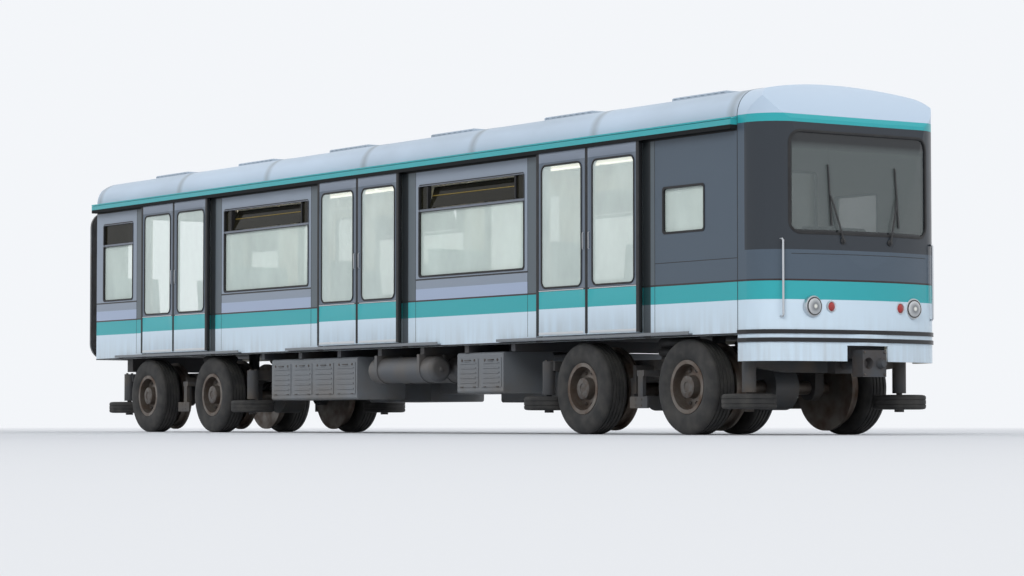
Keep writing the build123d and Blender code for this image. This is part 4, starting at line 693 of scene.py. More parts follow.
# Bare steel below the guide top; above it black, for a black rail and for painted deep shade under the cover
guides_and_shaded_ledge = blend(z > GUIDE_TOP, linear(112, 116, 120), BLACK)
track_paint.tint(z > COVER_LOW, guides_and_shaded_ledge, jade)
track_paint.feed("Coat Weight", (z > COVER_LOW) * 0.25)
track_paint.feed("Roughness", z.within(GUIDE_TOP, COVER_LOW) * 0.55 + 0.35)
track_paint.bump(track_paint.noise(2, 2, (0.5, 1, 1)), 0.001, 0.3)
dress(track_paint, "door_tracks")
cover = Shape().loft([np.insert(GUTTER, 0, at, axis=1) for at in (BODY_REAR + 0.001, NOSE_SEAM - 0.001)])
for at in (BODY_REAR + 0.0005, NOSE_SEAM - 0.0045):
    cover.bar((at, SIDE + 0.001, 2.99), (at + 0.004, 1.2352, 3.0855), 0, 0.001, 0.006)
cover.mirrored().made("rain_gutters", track_paint, slot="track_paint")


# Door leaves. Each has a rounded skin with a rolled edge, a glazed upper part in a rubber seal, wide
# black rubbers at its edges, a bright strip under the glass and a handle at the meeting edge.
LEAF_OUT = 1.22
LEAF_IN = 1.175
LEAF_LOW = 1.04
LEAF_HIGH = 3.03
PANE_INSET = 0.085
PANE_LOW = 1.545
PANE_HIGH = 2.865
PANE_CORNER = 0.08
HANGER = 0.045
HANGER_TOP = 3.059
LEDGE = 3.0453
LEAF_LINE = 1.327
LEAF_HEAD = 2.888
HANGER_SHARES = (0.2, 0.8)
# Profiles as (inset from an edge, distance out from the face): the rolled outer edge, the reveal round
# the pane, the pane's rubber, the pane; and the handle as (distance out, height over its middle)
ROLLED = mm(6, -45, 0, -39, 0, -8, 2.5, -2.5, 8, 0)
REVEAL = mm(-30, 0, -22, -4, 0, -5, 0, -45)
PANE_RUBBER = mm(-2, -6, -2, 0, 4, 3, 14, 2, 18, -6, 18, -39, 10, -46, -2, -45)
SHEET = mm(12, -14, 12, -8)
HANDLE = mm(0, -90, 10, -87, 14, -75, 14, 75, 10, 87, 0, 90)
HANDLE_HEIGHT = 2.02
door_paint = Finish("door paint")
x, y, z = door_paint.place()
colour = bands(z, weathered(door_paint, z, 1.04, 1.33), [
    (LEAF_LINE, JADE), (1.512, BROWN), (1.53, linear(92, 102, 114)), (LEAF_HEAD, linear(118, 127, 140))])
ends = sum(abs(x - door).within(leaf_reach - 0.0065, leaf_reach + 0.0065) for door in DOORS)
door_paint.tint(abs(y) < LEAF_IN + 0.001, blend(ends, colour, BLACK), CREAM)
glossed(door_paint)
bright = Finish("bright metal", metallic=1.0, colour=(0.6, 0.62, 0.64))
bright.feed("Roughness", bright.noise(60, 3, (0.1, 1, 1)) * 0.25 + 0.2)
door_glass = Finish("door glass", colour=(0.74, 0.83, 0.79), Specular_IOR_Level=0.22)
haze = door_glass.noise(2.5, 4, (1, 1, 0.5)).ramp(0.35, 0.85)
door_glass.feed("Alpha", haze * 0.14 + 0.42)
door_glass.feed("Roughness", haze * 0.06 + 0.03)


for side_name, way in (("right", -1), ("left", 1)):
    for node in (f"leaf_{side_name}_{number}_{hand}" for number in (1, 2, 3) for hand in ("rear", "front")):
        ahead = 1 if node.endswith("front") else -1
        low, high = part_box(node)
        left, right = low.x, high.x
        meet, far = (left, right) if ahead > 0 else (right, left)
        pane = (left + PANE_INSET, right - PANE_INSET, PANE_LOW, PANE_HIGH)
        skin = Shape().hoop(loops((left, right, LEAF_LOW, LEAF_HIGH), 0.012, ROLLED, 1, way * LEAF_OUT, way)
                            + loops(pane, PANE_CORNER, REVEAL, 1, way * LEAF_OUT, way))
        for share in HANGER_SHARES:
            at = meet + ahead * share * (right - left)
            for inner, foot, head in ((1.206, LEAF_HIGH - 0.02, HANGER_TOP), (1.162, LEDGE, LEDGE + 0.014)):
                skin.bar((at - HANGER, way * LEAF_OUT, foot), (at + HANGER, way * inner, head))
        skin.made(f"{node}_skin", door_paint, node, slot="door_paint", body=node)

        seal = Shape().hoop(loops(pane, PANE_CORNER, PANE_RUBBER, 1, way * LEAF_OUT, way))
        seal.bar((meet - ahead * 0.004, way * (LEAF_IN + 0.004), LEAF_LOW + 0.01),
                 (meet + ahead * 0.022, way * (LEAF_OUT + 0.0015), LEAF_HIGH - 0.01), 2, 0.003, 0.006)
        seal.bar((far - ahead * 0.052, way * (LEAF_OUT - 0.004), LEAF_LOW + 0.004),
                 (far - ahead * 0.001, way * (LEAF_OUT + 0.0015), LEAF_HIGH - 0.004), 2, 0.002, 0.003)
        seal.made(f"{node}_seal", seal_rubber, slot="window_rubber", body=node)

        trim = Shape()
        for foot, high, out in ((PANE_LOW - 0.03, 0.01, 1.223), (LEAF_LOW + 0.012, 0.028, 1.2225)):
            trim.bar((left + 0.05, way * (LEAF_OUT - 0.002), foot),
                     (right - 0.05, way * out, foot + high), 0, 0.002)
        handle = np.multiply(HANDLE, (way, 1)) + (way * LEAF_OUT, HANDLE_HEIGHT)
        trim.tube(np.insert(handle, 0, meet + ahead * 0.048, axis=1), 0.0045, 8)
        trim.made(f"{node}_trim", bright, slot="pole_steel", body=node)
        sheet = Shape().loft(loops(pane, PANE_CORNER, SHEET, 1, way * LEAF_OUT, way))
        sheet.made(f"{node}_glass", door_glass, slot="window_glass", body=node)


# Roof. One pale painted shell with ventilator covers on its shoulders, and a sealed seam strip across
# it wherever two sheets meet.
ROOF_TOP = 3.48
CANT = 3.12
CANT_RADIUS = 0.28
CANT_CENTRE = 0.87
SEAM_PROUD = 0.0021
SEAM_STRIP = mm(-22, -1, -18, 2, 18, 2, 22, -1)
SHEET_LENGTH = 2.33
ROOF_SEAMS = (-4.785, -2.455, -0.125, 2.205, 4.535)
ROOF_GREY = linear(174, 190, 206)
roof_rise = ROOF_TOP - CANT
CROWN = (CANT_CENTRE**2 + roof_rise**2 - CANT_RADIUS**2) / (2 * (roof_rise - CANT_RADIUS))
roof_lean = math.atan2(CANT_CENTRE, CANT - ROOF_TOP + CROWN)
roof_paint = Finish("roof paint")
x, y, z = roof_paint.place()
dirt = roof_paint.noise(1.4, 5, (0.4, 1, 1)).ramp(0.35, 0.8)
along_roof = (x - ROOF_SEAMS[0]) % SHEET_LENGTH
seam_dirt = (abs(along_roof - SHEET_LENGTH / 2) - (SHEET_LENGTH / 2 - 0.1)).ramp(0.0, 0.09)
streaked = (dirt * 0.35 + z.ramp(3.28, 3.46) * 0.25 + seam_dirt * 0.45).least(0.8)
roof_paint.tint(streaked, ROOF_GREY, linear(126, 130, 132))
roof_paint.feed("Roughness", dirt * 0.2 + 0.42)
roof_paint.bump(roof_paint.noise(2.5, 3) + roof_paint.noise(200, 2) * 0.03, 0.003, 0.35)
dress(roof_paint, "roof")


def roof_line(steps=14):
    """The body's outline over the roof, and the way out at each point: a corner arc up, the crown's
    wide arc across, a corner arc down, each its centre plus its radius times cosine and sine."""
    corner = np.linspace(0, np.pi / 2 - roof_lean, steps)
    across = np.linspace(np.pi / 2 - roof_lean, np.pi / 2 + roof_lean, 2 * steps)
    arcs = [(corner, CANT_CENTRE, CANT, CANT_RADIUS), (across, 0, ROOF_TOP - CROWN, CROWN),
            (np.pi - corner[::-1], -CANT_CENTRE, CANT, CANT_RADIUS)]
    turned = [np.column_stack([np.cos(turn), np.sin(turn)]) for turn, y, z, radius in arcs]
    path = np.vstack([(y, z) + radius * out for (turn, y, z, radius), out in zip(arcs, turned)])
    keep = np.append(True, np.linalg.norm(np.diff(path, axis=0), axis=1) > 0.0001)
    return path[keep], np.vstack(turned)[keep]


seam_path, seam_out = roof_line()
seam_path[:, 1] = np.minimum(seam_path[:, 1], ROOF_TOP - SEAM_PROUD)
seams = Shape()
for at in ROOF_SEAMS:
    path = np.insert(seam_path, 0, at, axis=1)
    seams.carried(path, (1, 0, 0), np.insert(seam_out, 0, 0, axis=1), SEAM_STRIP)
seams.made("roof_seams", roof_paint, slot="roof_paint")


# Nose. One moulded shell, bowed in plan and raked above the waist: white with a jade stripe, a grey
# mask round the windscreen, black rub rails, and a sealed joint where it meets the body.
NOSE_FACE = 7.55
NOSE_SHOULDER = 7.05
NOSE_HALF = 1.152
NOSE_CORNER = 0.38
WAIST = 1.62
RAKE = 0.13 / 1.46
NOSE_SKIN = 0.02
# Room behind the brow, under the nose's roof: how far forward, up and out from the middle
NOSE_HOLLOWS = ((7.25, 3.2, 1.05), (7.1, 3.36, 0.9))
MASK = linear(44, 49, 55)
MASK_LOW = 1.8
BROW_LOW = 3.045
BROW_TOP = 3.125
FLANK_END = 7.06
RUB_RAILS = ((0.905, 0.945), (0.985, 1.025))
SEAM_BEAD = mm(-5, -1, -4, 1.4, 4, 1.4, 5, -1)
FACE_JOINT = 1.76
FACE_JOINT_HALF = 0.86
FACE_BEAD = mm(-3, -2, -2.5, 1, 2.5, 1, 3, -2)
nose_side = NOSE_HALF - NOSE_CORNER
nose_rise = NOSE_FACE - NOSE_SHOULDER
BOW = (nose_side**2 + nose_rise**2 - NOSE_CORNER**2) / (2 * (nose_rise - NOSE_CORNER))
nose_paint = Finish("nose paint")
x, y, z = nose_paint.place()
front = bands(z, weathered(nose_paint, z, 0.72, 1.25), [
    (STRIPE_LOW, JADE), (STRIPE_TOP, BROWN), (LINE_TOP, CAB_GREY), (MASK_LOW, MASK)])
flank = blend((x < FLANK_END) * (z > LINE_TOP), front, CAB_GREY)
face = bands(z, flank, [(BROW_LOW, JADE), (BROW_TOP, ROOF_GREY)])
rub_rails = sum(z.within(low - 0.0005, high + 0.0005) for low, high in RUB_RAILS)
corner_u = (abs(y) - nose_side).most(0.0)
corner_v = (x - NOSE_SHOULDER).most(0.0)
inside = (corner_u * corner_u + corner_v * corner_v).root() < NOSE_CORNER - NOSE_SKIN
inside = inside.most(abs(y) < nose_side)
bow_reach = (x - (NOSE_FACE - BOW)) * (x - (NOSE_FACE - BOW)) + y * y
inside = inside * (bow_reach.root() < BOW - NOSE_SKIN)
inside = inside * (x + (z - WAIST).most(0.0) * RAKE < NOSE_FACE - NOSE_SKIN) * (z < 3.1)
for reach, top, half in NOSE_HOLLOWS:
    inside = inside.most((x < reach) * (z < top) * (abs(y) < half))
nose_paint.tint(inside, blend(rub_rails, face, (0.014, 0.014, 0.015)), CREAM)
glossed(nose_paint)
dress(nose_paint, "cab_front")


def nose_front(across, up):
    """How far forward the nose reaches: the bow's arc in plan, or the raked face where that is less."""
    across, up = np.broadcast_arrays(np.asarray(across, float), np.asarray(up, float))
    bow = NOSE_FACE - BOW + np.sqrt(BOW**2 - across**2)
    return np.minimum(bow, NOSE_FACE - RAKE * np.maximum(up - WAIST, 0))


wall = np.column_stack([np.full(12, SIDE), np.linspace(WALL_LOW, CANT - 0.01, 12)])
ring = np.vstack([wall, seam_path, wall[::-1] * (-1, 1)])
ring_out = np.vstack([np.tile((1, 0), (12, 1)), seam_out, np.tile((-1, 0), (12, 1))])
joint = Shape()
joint.carried(np.insert(ring, 0, NOSE_SEAM, axis=1), (1, 0, 0), np.insert(ring_out, 0, 0, axis=1), SEAM_BEAD)
across = np.linspace(-FACE_JOINT_HALF, FACE_JOINT_HALF, 41)
face_line = np.column_stack([nose_front(across, FACE_JOINT), across, np.full(41, FACE_JOINT)])
joint.carried(face_line, (0, 0, 1), (1, 0, 0), FACE_BEAD)
joint.made("nose_joints", seal_rubber, slot="body_paint")


# Windscreen. One bowed laminated pane in a black rubber seal, with a dark band along its top and a
# wiper on each half, its arm turning on a spindle under the glass.
SCREEN_HALF = 0.88
SCREEN_LOW = 1.96
SCREEN_HIGH = 2.96
SCREEN_CORNER = 0.12
SCREEN_RECESS = 0.0125
SCREEN_BORDER = 0.035
SUN_BAND = (2.78, 2.86)
# Profiles as (inset, proud of the nose) for the seal, (radius, forward) for the wiper's boss, and
# (across, forward) for its arm and blade
SCREEN_RUBBER = [(-0.012, -0.002), (-0.011, 0.003), (-0.002, 0.006), (0.01, 0.004), (0.016, -0.002),
                 (0.018, -SCREEN_RECESS - 0.001), (0.001, -SCREEN_RECESS - 0.001), (0.001, -0.002)]
WIPER_BOSS = mm(30, -4, 30, 10, 24, 18, 18, 20, 16, 32, 6, 34)
WIPER_ARM = mm(-11, -3, -8, 4, 8, 4, 11, -3)
WIPER_BLADE = mm(-2, 1, -7, 12, -7, 18, 7, 18, 7, 12, 2, 1)
WIPER_FOOT = (0.3, 1.89)
BLADE_AT = 0.43
BLADE = (2.04, 2.64)
screen_glass = Finish("windscreen glass", IOR=1.52)
x, y, z = screen_glass.place()
border = (abs(y) > SCREEN_HALF - SCREEN_BORDER).most(z > SCREEN_HIGH - SCREEN_BORDER)
dark = z.ramp(*SUN_BAND).most(border.most(z < SCREEN_LOW + SCREEN_BORDER))
screen_glass.tint(dark, (0.12, 0.14, 0.14), (0.012, 0.014, 0.016))
screen_glass.feed("Alpha", dark * 0.43 + 0.55)
screen_glass.feed("Roughness", screen_glass.noise(2, 3).ramp(0.4, 0.9) * 0.05 + 0.02)
dress(screen_glass, "windscreen")


def along_edge(loop, gap=0.02):
    """A closed loop of points stepped evenly: each run between corners shared out by its length."""
    closed = np.vstack([loop, loop[:1]])
    reach = np.append(0, np.cumsum(np.linalg.norm(np.diff(closed, axis=0), axis=1)))
    steps = np.linspace(0, reach[-1], int(reach[-1] / gap), endpoint=False)
    return np.column_stack([np.interp(steps, reach, closed[:, 0]), np.interp(steps, reach, closed[:, 1])])


def on_nose(loop, proud):
    """A loop of (across, up) points laid on the nose's surface, a distance proud of it."""
    return np.column_stack([nose_front(loop[:, 0], loop[:, 1]) + proud, loop])


base = along_edge(round_loop(-SCREEN_HALF, SCREEN_HALF, SCREEN_LOW, SCREEN_HIGH, SCREEN_CORNER, 8))
inward = np.roll(base, -1, axis=0) - np.roll(base, 1, axis=0)
inward = np.column_stack([-inward[:, 1], inward[:, 0]]) / np.linalg.norm(inward, axis=1, keepdims=True)
seal = Shape().hoop([on_nose(base + inset * inward, proud) for inset, proud in SCREEN_RUBBER])
seal.made("windscreen_seal", seal_rubber, slot="window_rubber")
wiper_black = Finish("wiper black", 0.4).clouded((0.014, 0.014, 0.015), (0.05, 0.05, 0.05), 30, 0.5)
share = np.linspace(0, 1, 9)[:, None]
arm = (1 - share) * WIPER_FOOT + share * (BLADE_AT, sum(BLADE) / 2)
blade = np.column_stack([np.full(17, BLADE_AT), np.linspace(*BLADE, 17)])
wipers = Shape().turned(WIPER_BOSS, (nose_front(*WIPER_FOOT), *WIPER_FOOT), 0)
wipers.carried(on_nose(arm, 0.022 - 0.012 * share[:, 0] ** 4), (0, 0.95, -0.31), (1, 0, 0), WIPER_ARM)
wipers.carried(on_nose(blade, -SCREEN_RECESS), (0, 1, 0), (1, 0, 0), WIPER_BLADE)
wipers.mirrored().made("wipers", wiper_black, slot="window_rubber")


# Nose lamps. A fluted glass lens in a bright turned ring in front of each round case, a small red
# tail lamp beside it, and a steel handrail up each edge of the nose.
LAMP_Y = 0.64
LAMP_Z = 1.25
TAIL_Y = 0.44
HANDRAIL_Y = 0.96
HANDRAIL = (1.15, 1.9)
HANDRAIL_STAND = 0.045
HANDRAIL_BEND = 0.012
LENS_BOWL = mm(1, 17, 30, 16, 55, 12.5, 74, 6, 80, -1, 80, -4)
TAIL_BOWL = mm(1, 16, 22, 14, 38, 8, 44, 1, 44, -6)
TAIL_RING = mm(44, -12, 44, 4, 48, 9, 55, 8, 58, 1, 59, -12, 44, -12)
lamp_lens = Finish("lamp lens", 0.1, Coat_Weight=0.6)
x, y, z = lamp_lens.place()
across = abs(y) - LAMP_Y
up = z - LAMP_Z
radius = (across * across + up * up).root()
# Painted on the lens in rings: a pale bulb, then a painted reflection of the reflector bowl that grades from
# dark by the bulb to mid grey, then a dark rim
bulb_and_painted_reflector = blend(radius.ramp(0.012, 0.026), (0.72, 0.72, 0.66), (0.17, 0.18, 0.19))
bulb_and_painted_reflector = blend(radius.ramp(0.03, 0.074), bulb_and_painted_reflector, (0.5, 0.51, 0.52))
lamp_lens.tint(radius > 0.0775, bulb_and_painted_reflector, (0.02, 0.02, 0.02))
lamp_lens.bump((y * 420.0).sine(), 0.0025, 0.7)
dress(lamp_lens, "headlamps")
tail_lens = Finish("tail lens", 0.15, colour=(0.3, 0.012, 0.01), Coat_Weight=0.5)
tail_lens.bump((tail_lens.place()[2] * 900.0).sine(), 0.001)
case_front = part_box("headlamps")[1].x
lamp_skin = float(nose_front(LAMP_Y, LAMP_Z))
tail_skin = float(nose_front(TAIL_Y, LAMP_Z))
deep = case_front - lamp_skin - 0.02
lamp_ring = [(0.08, deep), (0.08, 0.014), (0.085, 0.022), (0.094, 0.024), (0.102, 0.018), (0.106, 0.006),
             (0.107, -0.03), (0.0895, -0.03), (0.0895, deep), (0.08, deep)]
rings = Shape().turned(lamp_ring, (lamp_skin, LAMP_Y, LAMP_Z), 0, 48, caps=False)
rings.turned(TAIL_RING, (tail_skin, TAIL_Y, LAMP_Z), 0, 40, caps=False)
foot = float(nose_front(0.886, LAMP_Z)) - 0.06
stand = foot + 0.02 + HANDRAIL_STAND
low, high = HANDRAIL
handrail = [(foot, low), (stand - HANDRAIL_BEND, low), (stand, low + HANDRAIL_BEND),
            (stand, high - HANDRAIL_BEND), (stand - HANDRAIL_BEND, high), (foot, high)]
rings.tube(np.insert(handrail, 1, HANDRAIL_Y, axis=1), 0.011, 12)
lenses = Shape().turned(LENS_BOWL, (case_front, LAMP_Y, LAMP_Z), 0, 36)
tails = Shape().turned(TAIL_BOWL, (tail_skin, TAIL_Y, LAMP_Z), 0, 32)
lenses.mirrored().made("lamp_lenses", lamp_lens, slot="lamp_lens")
tails.mirrored().made("tail_lenses", tail_lens, slot="lamp_lens")
rings.mirrored().made("lamp_rings", bright, slot="pole_steel")


# Bulkhead and cab door. Laminated board on a steel frame with glazed upper parts in rubber; the door
# hangs on two hinges and has a lever handle on each face.
CAB_DOOR_GLASS = (-0.21, 0.21, 2.15, 2.65)
WALL_GLASS = (0.5, 0.94, 2, 2.75)
LIPPED = mm(-10, -22, -10, -26, 12, -24, 12, 24, -10, 26, -10, 22, 1, 20, 1, -20)
ROSE = mm(24, -1, 24, 4, 20, 6, 9, 6, 9, 30)
LEVER_HEIGHT = 2
laminate = Finish("laminate", 0.4)
laminate.clouded(CREAM, linear(196, 190, 172), 2, 0.5).grained(500, 1, 0.0003, 0.3)
dress(laminate, "cab_bulkhead", "cab_door")
x_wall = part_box("cab_door")[1].x - 0.02
for opening, body, pane_name, rubber_name in (
        (WALL_GLASS, "car_body", "bulkhead_panes", "bulkhead_rubbers"),
        (CAB_DOOR_GLASS, "cab_door", "cab_door_pane", "cab_door_rubber")):
    rubbers = Shape().hoop(loops(opening, 0.04, LIPPED, 0, x_wall))
    panes = Shape().loft(loops(opening, 0.04, mm(8, -3, 8, 3), 0, x_wall))
    if body == "car_body":
        panes.mirrored()
        rubbers.mirrored()
    panes.made(pane_name, door_glass, slot="window_glass", body=body)
    rubbers.made(rubber_name, seal_rubber, slot="window_rubber", body=body)
handles = Shape()
for face in (-1, 1):
    base = x_wall + face * 0.02
    handles.turned(ROSE, (base, 0.25, LEVER_HEIGHT), 0, way=face)
    handles.bar((base + face * 0.022, 0.13, LEVER_HEIGHT - 0.009),
                (base + face * 0.034, 0.262, LEVER_HEIGHT + 0.009), 1, 0.004, 0.006)
handles.made("cab_door_handles", bright, slot="pole_steel", body="cab_door")


# Ceiling. White sheet between the side walls with two rows of lamps under long covers, and steel
# grab rails hung from it on short stays.
RAIL_Y = 0.8
RAIL_Z = 2.93
RAIL_ENDS = (-6.75, 5.25)
CEILING = 3.1
STAYS = np.linspace(-6.6, 5.1, 10)[1:-1]
POLE_Y = 0.35
LAMP_ROW = 0.55
STAY = mm(9, 10, 9, 169.5)
STAY_PLATE = mm(22, 0, 22, -6, 10, -12)
POLE_FOOT = mm(40, 0.5, 40, 6, 36, 10, 22, 12, 20, 30, 17.2, 32, 17.2, 0.5)
ceiling_sheet = Finish("ceiling sheet")
ceiling_sheet.clouded((0.74, 0.74, 0.71), (0.6, 0.6, 0.57), 1.5, 0.6).grained(300, 1, 0.0003, 0.3)
dress(ceiling_sheet, "ceiling")
lamp_cover = Finish("lamp cover", 0.4, colour=(0.93, 0.91, 0.83), Emission_Strength=2.2)
x, y, z = lamp_cover.place()
tube_line = abs(abs(y) - LAMP_ROW).ramp(0.1, 0.01)
lamp_cover.feed("Emission Color", blend(tube_line, (0.55, 0.5, 0.38), (1.0, 0.95, 0.8)))
dress(lamp_cover, "ceiling_lamps")
pole_steel = Finish("pole steel", metallic=1.0, colour=(0.58, 0.59, 0.6))
pole_steel.feed("Roughness", pole_steel.noise(8, 3, (1, 1, 4)) * 0.2 + 0.14)
dress(pole_steel, "grab_poles")
hook = np.array([(0, CEILING - 0.001), (0, RAIL_Z + 0.05), (0.015, RAIL_Z + 0.015), (0.05, RAIL_Z)])
run = np.vstack([hook + (RAIL_ENDS[0], 0), hook[::-1] * (-1, 1) + (RAIL_ENDS[1], 0)])
rails = Shape().tube(np.insert(run, 1, RAIL_Y, axis=1), 0.015, 12)
for at in STAYS:
    rails.turned(STAY, (at, RAIL_Y, RAIL_Z), 2, 12)
    rails.turned(STAY_PLATE, (at, RAIL_Y, CEILING - 0.0005), 2, 16)
for door in DOORS:
    for level, rise in ((FLOOR_TOP, 1), (CEILING, -1)):
        rails.turned(POLE_FOOT, (door, POLE_Y, level), 2, caps=False, way=rise)
rails.mirrored().made("grab_rails", pole_steel, slot="pole_steel")


# Benches. Moulded plastic shells on steel legs, each with two cloth-faced boards set into its seat and
# two into its back.
WALL_INSIDE = 1.09
BOARD_GAP = 0.03
BOARD_WIDTH = 0.345
BOARD_CORNER = 0.045
BOARD_PITCH = 0.38
BENCH_FROM_DOOR = 2.325
BACK_TO_BACK = 0.88
# Boards seen from the side: the near end, the far end and the way that the face rises
BOARDS = [((0.085, 0.434), (0.4, 0.4565), 1), ((0.012, 0.52), (-0.045, 0.935), -1)]
BOARD_EDGE = mm(0, -4, 0, 4, 3, 7, 10, 8.5)
bench_plastic = Finish("bench plastic")
worn = bench_plastic.noise(6, 4).ramp(0.45, 0.85)
bench_plastic.tint(worn * 0.4, (0.04, 0.145, 0.16), (0.085, 0.19, 0.2))
bench_plastic.feed("Roughness", worn * -0.12 + 0.42)
bench_plastic.grained(400, 1, 0.0005)
dress(bench_plastic, "benches")
bench_cloth = Finish("bench cloth", 0.9)
x, y, z = bench_cloth.place()
weave = ((x + z) * 900.0).sine() * (y * 900.0).sine()
bench_cloth.tint(weave.ramp(-0.3, 0.6), (0.03, 0.075, 0.12), (0.08, 0.15, 0.2))
bench_cloth.bump(weave, 0.001, 0.5)
# Benches: where each one's back stands, and the way that it faces along the car
BENCH_SPOTS = [(-6.95, 1)] + [(door + BENCH_FROM_DOOR - face * BACK_TO_BACK, face)
                               for door in DOORS[:-1] for face in (-1, 1)]
boards = Shape()
for foot, face in BENCH_SPOTS:
    for near, far, turn in BOARDS:
        length = math.dist(near, far)
        run = np.subtract(far, near) / length
        rise = turn * np.array([-run[1], run[0]])
        for inner in (WALL_INSIDE - BOARD_GAP, WALL_INSIDE - BOARD_GAP - BOARD_PITCH):
            stack = []
            for inset, lift in BOARD_EDGE:
                ring = round_loop(0, length, inner - BOARD_WIDTH, inner, BOARD_CORNER, 5, inset)
                spot = near + ring[:, :1] * run + lift * rise
                stack.append(np.column_stack([foot + face * spot[:, 0], ring[:, 1], FLOOR_TOP + spot[:, 1]]))
            boards.loft(stack)
boards.mirrored().made("bench_boards", bench_cloth, slot="bench_plastic")


# Driving desk. Black moulded plastic with round dials in its hood, a row of push buttons, a master
# lever and a brake lever on the sloping ledge.
DIAL = (6.93, 1.965)
DIALS_ACROSS = (-0.24, -0.08, 0.08, 0.24)
DESK_EDGE = 6.8
BUTTONS = np.linspace(-0.6, -0.18, 7)
BUTTON_HEIGHT = 1.923
# Levers: distance across, lean along the car
LEVERS = ((0.3, -0.05), (0.52, 0.03))
DIAL_GLASS = mm(34, 2, 34, -4, 26, -6)
DIAL_RING = mm(34, 1, 42, 1, 42, -8, 36, -10, 34, -5)
BUTTON = mm(14, -6, 14, 4, 11, 6, 9, 6, 9, 14, 7, 16)
KNOB = mm(1, -26, 14, -22, 22, -10, 24, 4, 18, 18, 1, 26)
desk_plastic = Finish("desk plastic", 0.55)
desk_plastic.clouded((0.028, 0.031, 0.034), (0.06, 0.062, 0.064), 6, 0.4).grained(240, 2, 0.0008, 0.5)
dress(desk_plastic, "cab_desk")
dial_face = Finish("dial face", 0.2)
x, y, z = dial_face.place()
marks = ((y * 420.0).sine() * (z * 420.0).sine()).ramp(0.2, 0.5)
dial_face.tint(marks, (0.55, 0.57, 0.57), (0.06, 0.06, 0.06))
dials = Shape()
knobs = Shape()
for across in DIALS_ACROSS:
    dials.turned(DIAL_GLASS, (DIAL[0], across, DIAL[1]), 0, 28)
    knobs.turned(DIAL_RING, (DIAL[0], across, DIAL[1]), 0, 32, caps=False)
for across in BUTTONS:
    knobs.turned(BUTTON, (DESK_EDGE, across, BUTTON_HEIGHT), 2, 18)
for across, lean in LEVERS:
    stem = [(DESK_EDGE, 1.92), (DESK_EDGE + lean * 0.4, 1.98), (DESK_EDGE + lean, 2.05)]
    knobs.tube(np.insert(stem, 1, across, axis=1), 0.008)
    knobs.turned(KNOB, (DESK_EDGE + lean, across, 2.06), 2, 20)
dials.made("desk_dials", dial_face, slot="desk_plastic")
knobs.made("desk_controls", bright, slot="pole_steel")


# Driver's seat. Two upholstered cushions with piped edges on a steel pan and post bolted to the floor.
SEAT_X = 6.28
SEAT_HALF = 0.23
SEAT_LOW = 1.55
PAD_FACE = 0.86
PULL_IN = 0.035
CROWN_RISE = 0.016
STITCH_WIDTH = 0.006
STITCH_DEEP = 0.007
PIPING = 0.0035
SEAT_POST = [(0.06, 0.001), (0.06, 0.01), (0.046, 0.016), (0.042, 0.03), (0.042, 0.405), (0.058, 0.42),
             (0.058, 0.431)]
seat_cloth = Finish("seat cloth", 0.88)
x, y, z = seat_cloth.place()
weave = ((x + z) * 1300.0).sine() * ((y + z) * 1300.0).sine()
seat_cloth.tint(weave.ramp(-0.2, 0.5), (0.03, 0.05, 0.085), (0.075, 0.105, 0.16))
seat_cloth.bump(weave, 0.001, 0.6)


def cushion(low, high, thick, channels, across):
    """A stuffed pad. Its outline is a rounded rectangle whose sides pull in between the corners: each
    coordinate loses a share of itself times one minus the other's square. Rings of it shrink towards
    the middle of both faces, which swell by a crown less a narrow dip along each sewn channel."""
    a, b = [axis for axis in range(3) if axis != thick]
    middle, half = np.add(low, high) / 2, np.subtract(high, low) / 2
    edge = along_edge(round_loop(-half[a], half[a], -half[b], half[b], 0.07, 8), 0.008)
    edge = edge * (1 - PULL_IN * (1 - (edge / half[[a, b]])[:, ::-1] ** 2))
    turn = np.linspace(np.pi / 2, -np.pi / 2, 17)
    face = np.linspace(0.02, PAD_FACE, 44)[:-1]
    scale = np.concatenate([face, PAD_FACE + (1 - PAD_FACE) * np.cos(turn), face[::-1]])[:, None]
    rise = np.concatenate([np.ones(len(face)), np.sin(turn), -np.ones(len(face))])[:, None]
    flat = scale[..., None] * edge
    swell = CROWN_RISE * np.maximum(1 - (scale / PAD_FACE) ** 2, 0)
    dip = sum(np.exp(-(((flat[..., across] - line) / STITCH_WIDTH) ** 2)) for line in channels)
    height = rise * (half[thick] - CROWN_RISE) + np.sign(rise) * swell - rise**3 * STITCH_DEEP * dip
    points = np.insert(flat, thick, height, axis=2) + middle
    pad = Shape().loft(points)
    out = np.insert(edge / np.linalg.norm(edge, axis=1, keepdims=True), thick, 0, axis=1)
    for row in (len(face) + 4, len(face) + 12):
        pad.carried(points[row], out, np.eye(3)[thick], circle(PIPING, 8), closed=True)
    return pad


heel = SEAT_X - SEAT_HALF
pad = cushion((heel + 0.085, -SEAT_HALF, SEAT_LOW + 0.004), (SEAT_X + SEAT_HALF, SEAT_HALF, SEAT_LOW + 0.09),
              2, (-0.07, 0.07), 0)
back = cushion((heel, -SEAT_HALF, SEAT_LOW + 0.05), (heel + 0.09, SEAT_HALF, SEAT_LOW + 0.59),
               0, (-0.15, 0.0, 0.15), 1)
for shape, name in ((pad, "driver_seat_pad"), (back, "driver_seat_back")):
    shape.made(name, seat_cloth, "driver_seat", slot="seat_fabric", crease=60)
post = Shape().turned(SEAT_POST, (SEAT_X, 0, FLOOR_TOP), 2, 32)
post.bar((SEAT_X - 0.19, -0.19, SEAT_LOW - 0.01), (SEAT_X + 0.19, 0.19, SEAT_LOW + 0.006), 0, 0.004, 0.007)
post.made("driver_seat_stand", wiper_black, "driver_seat", slot="seat_fabric")


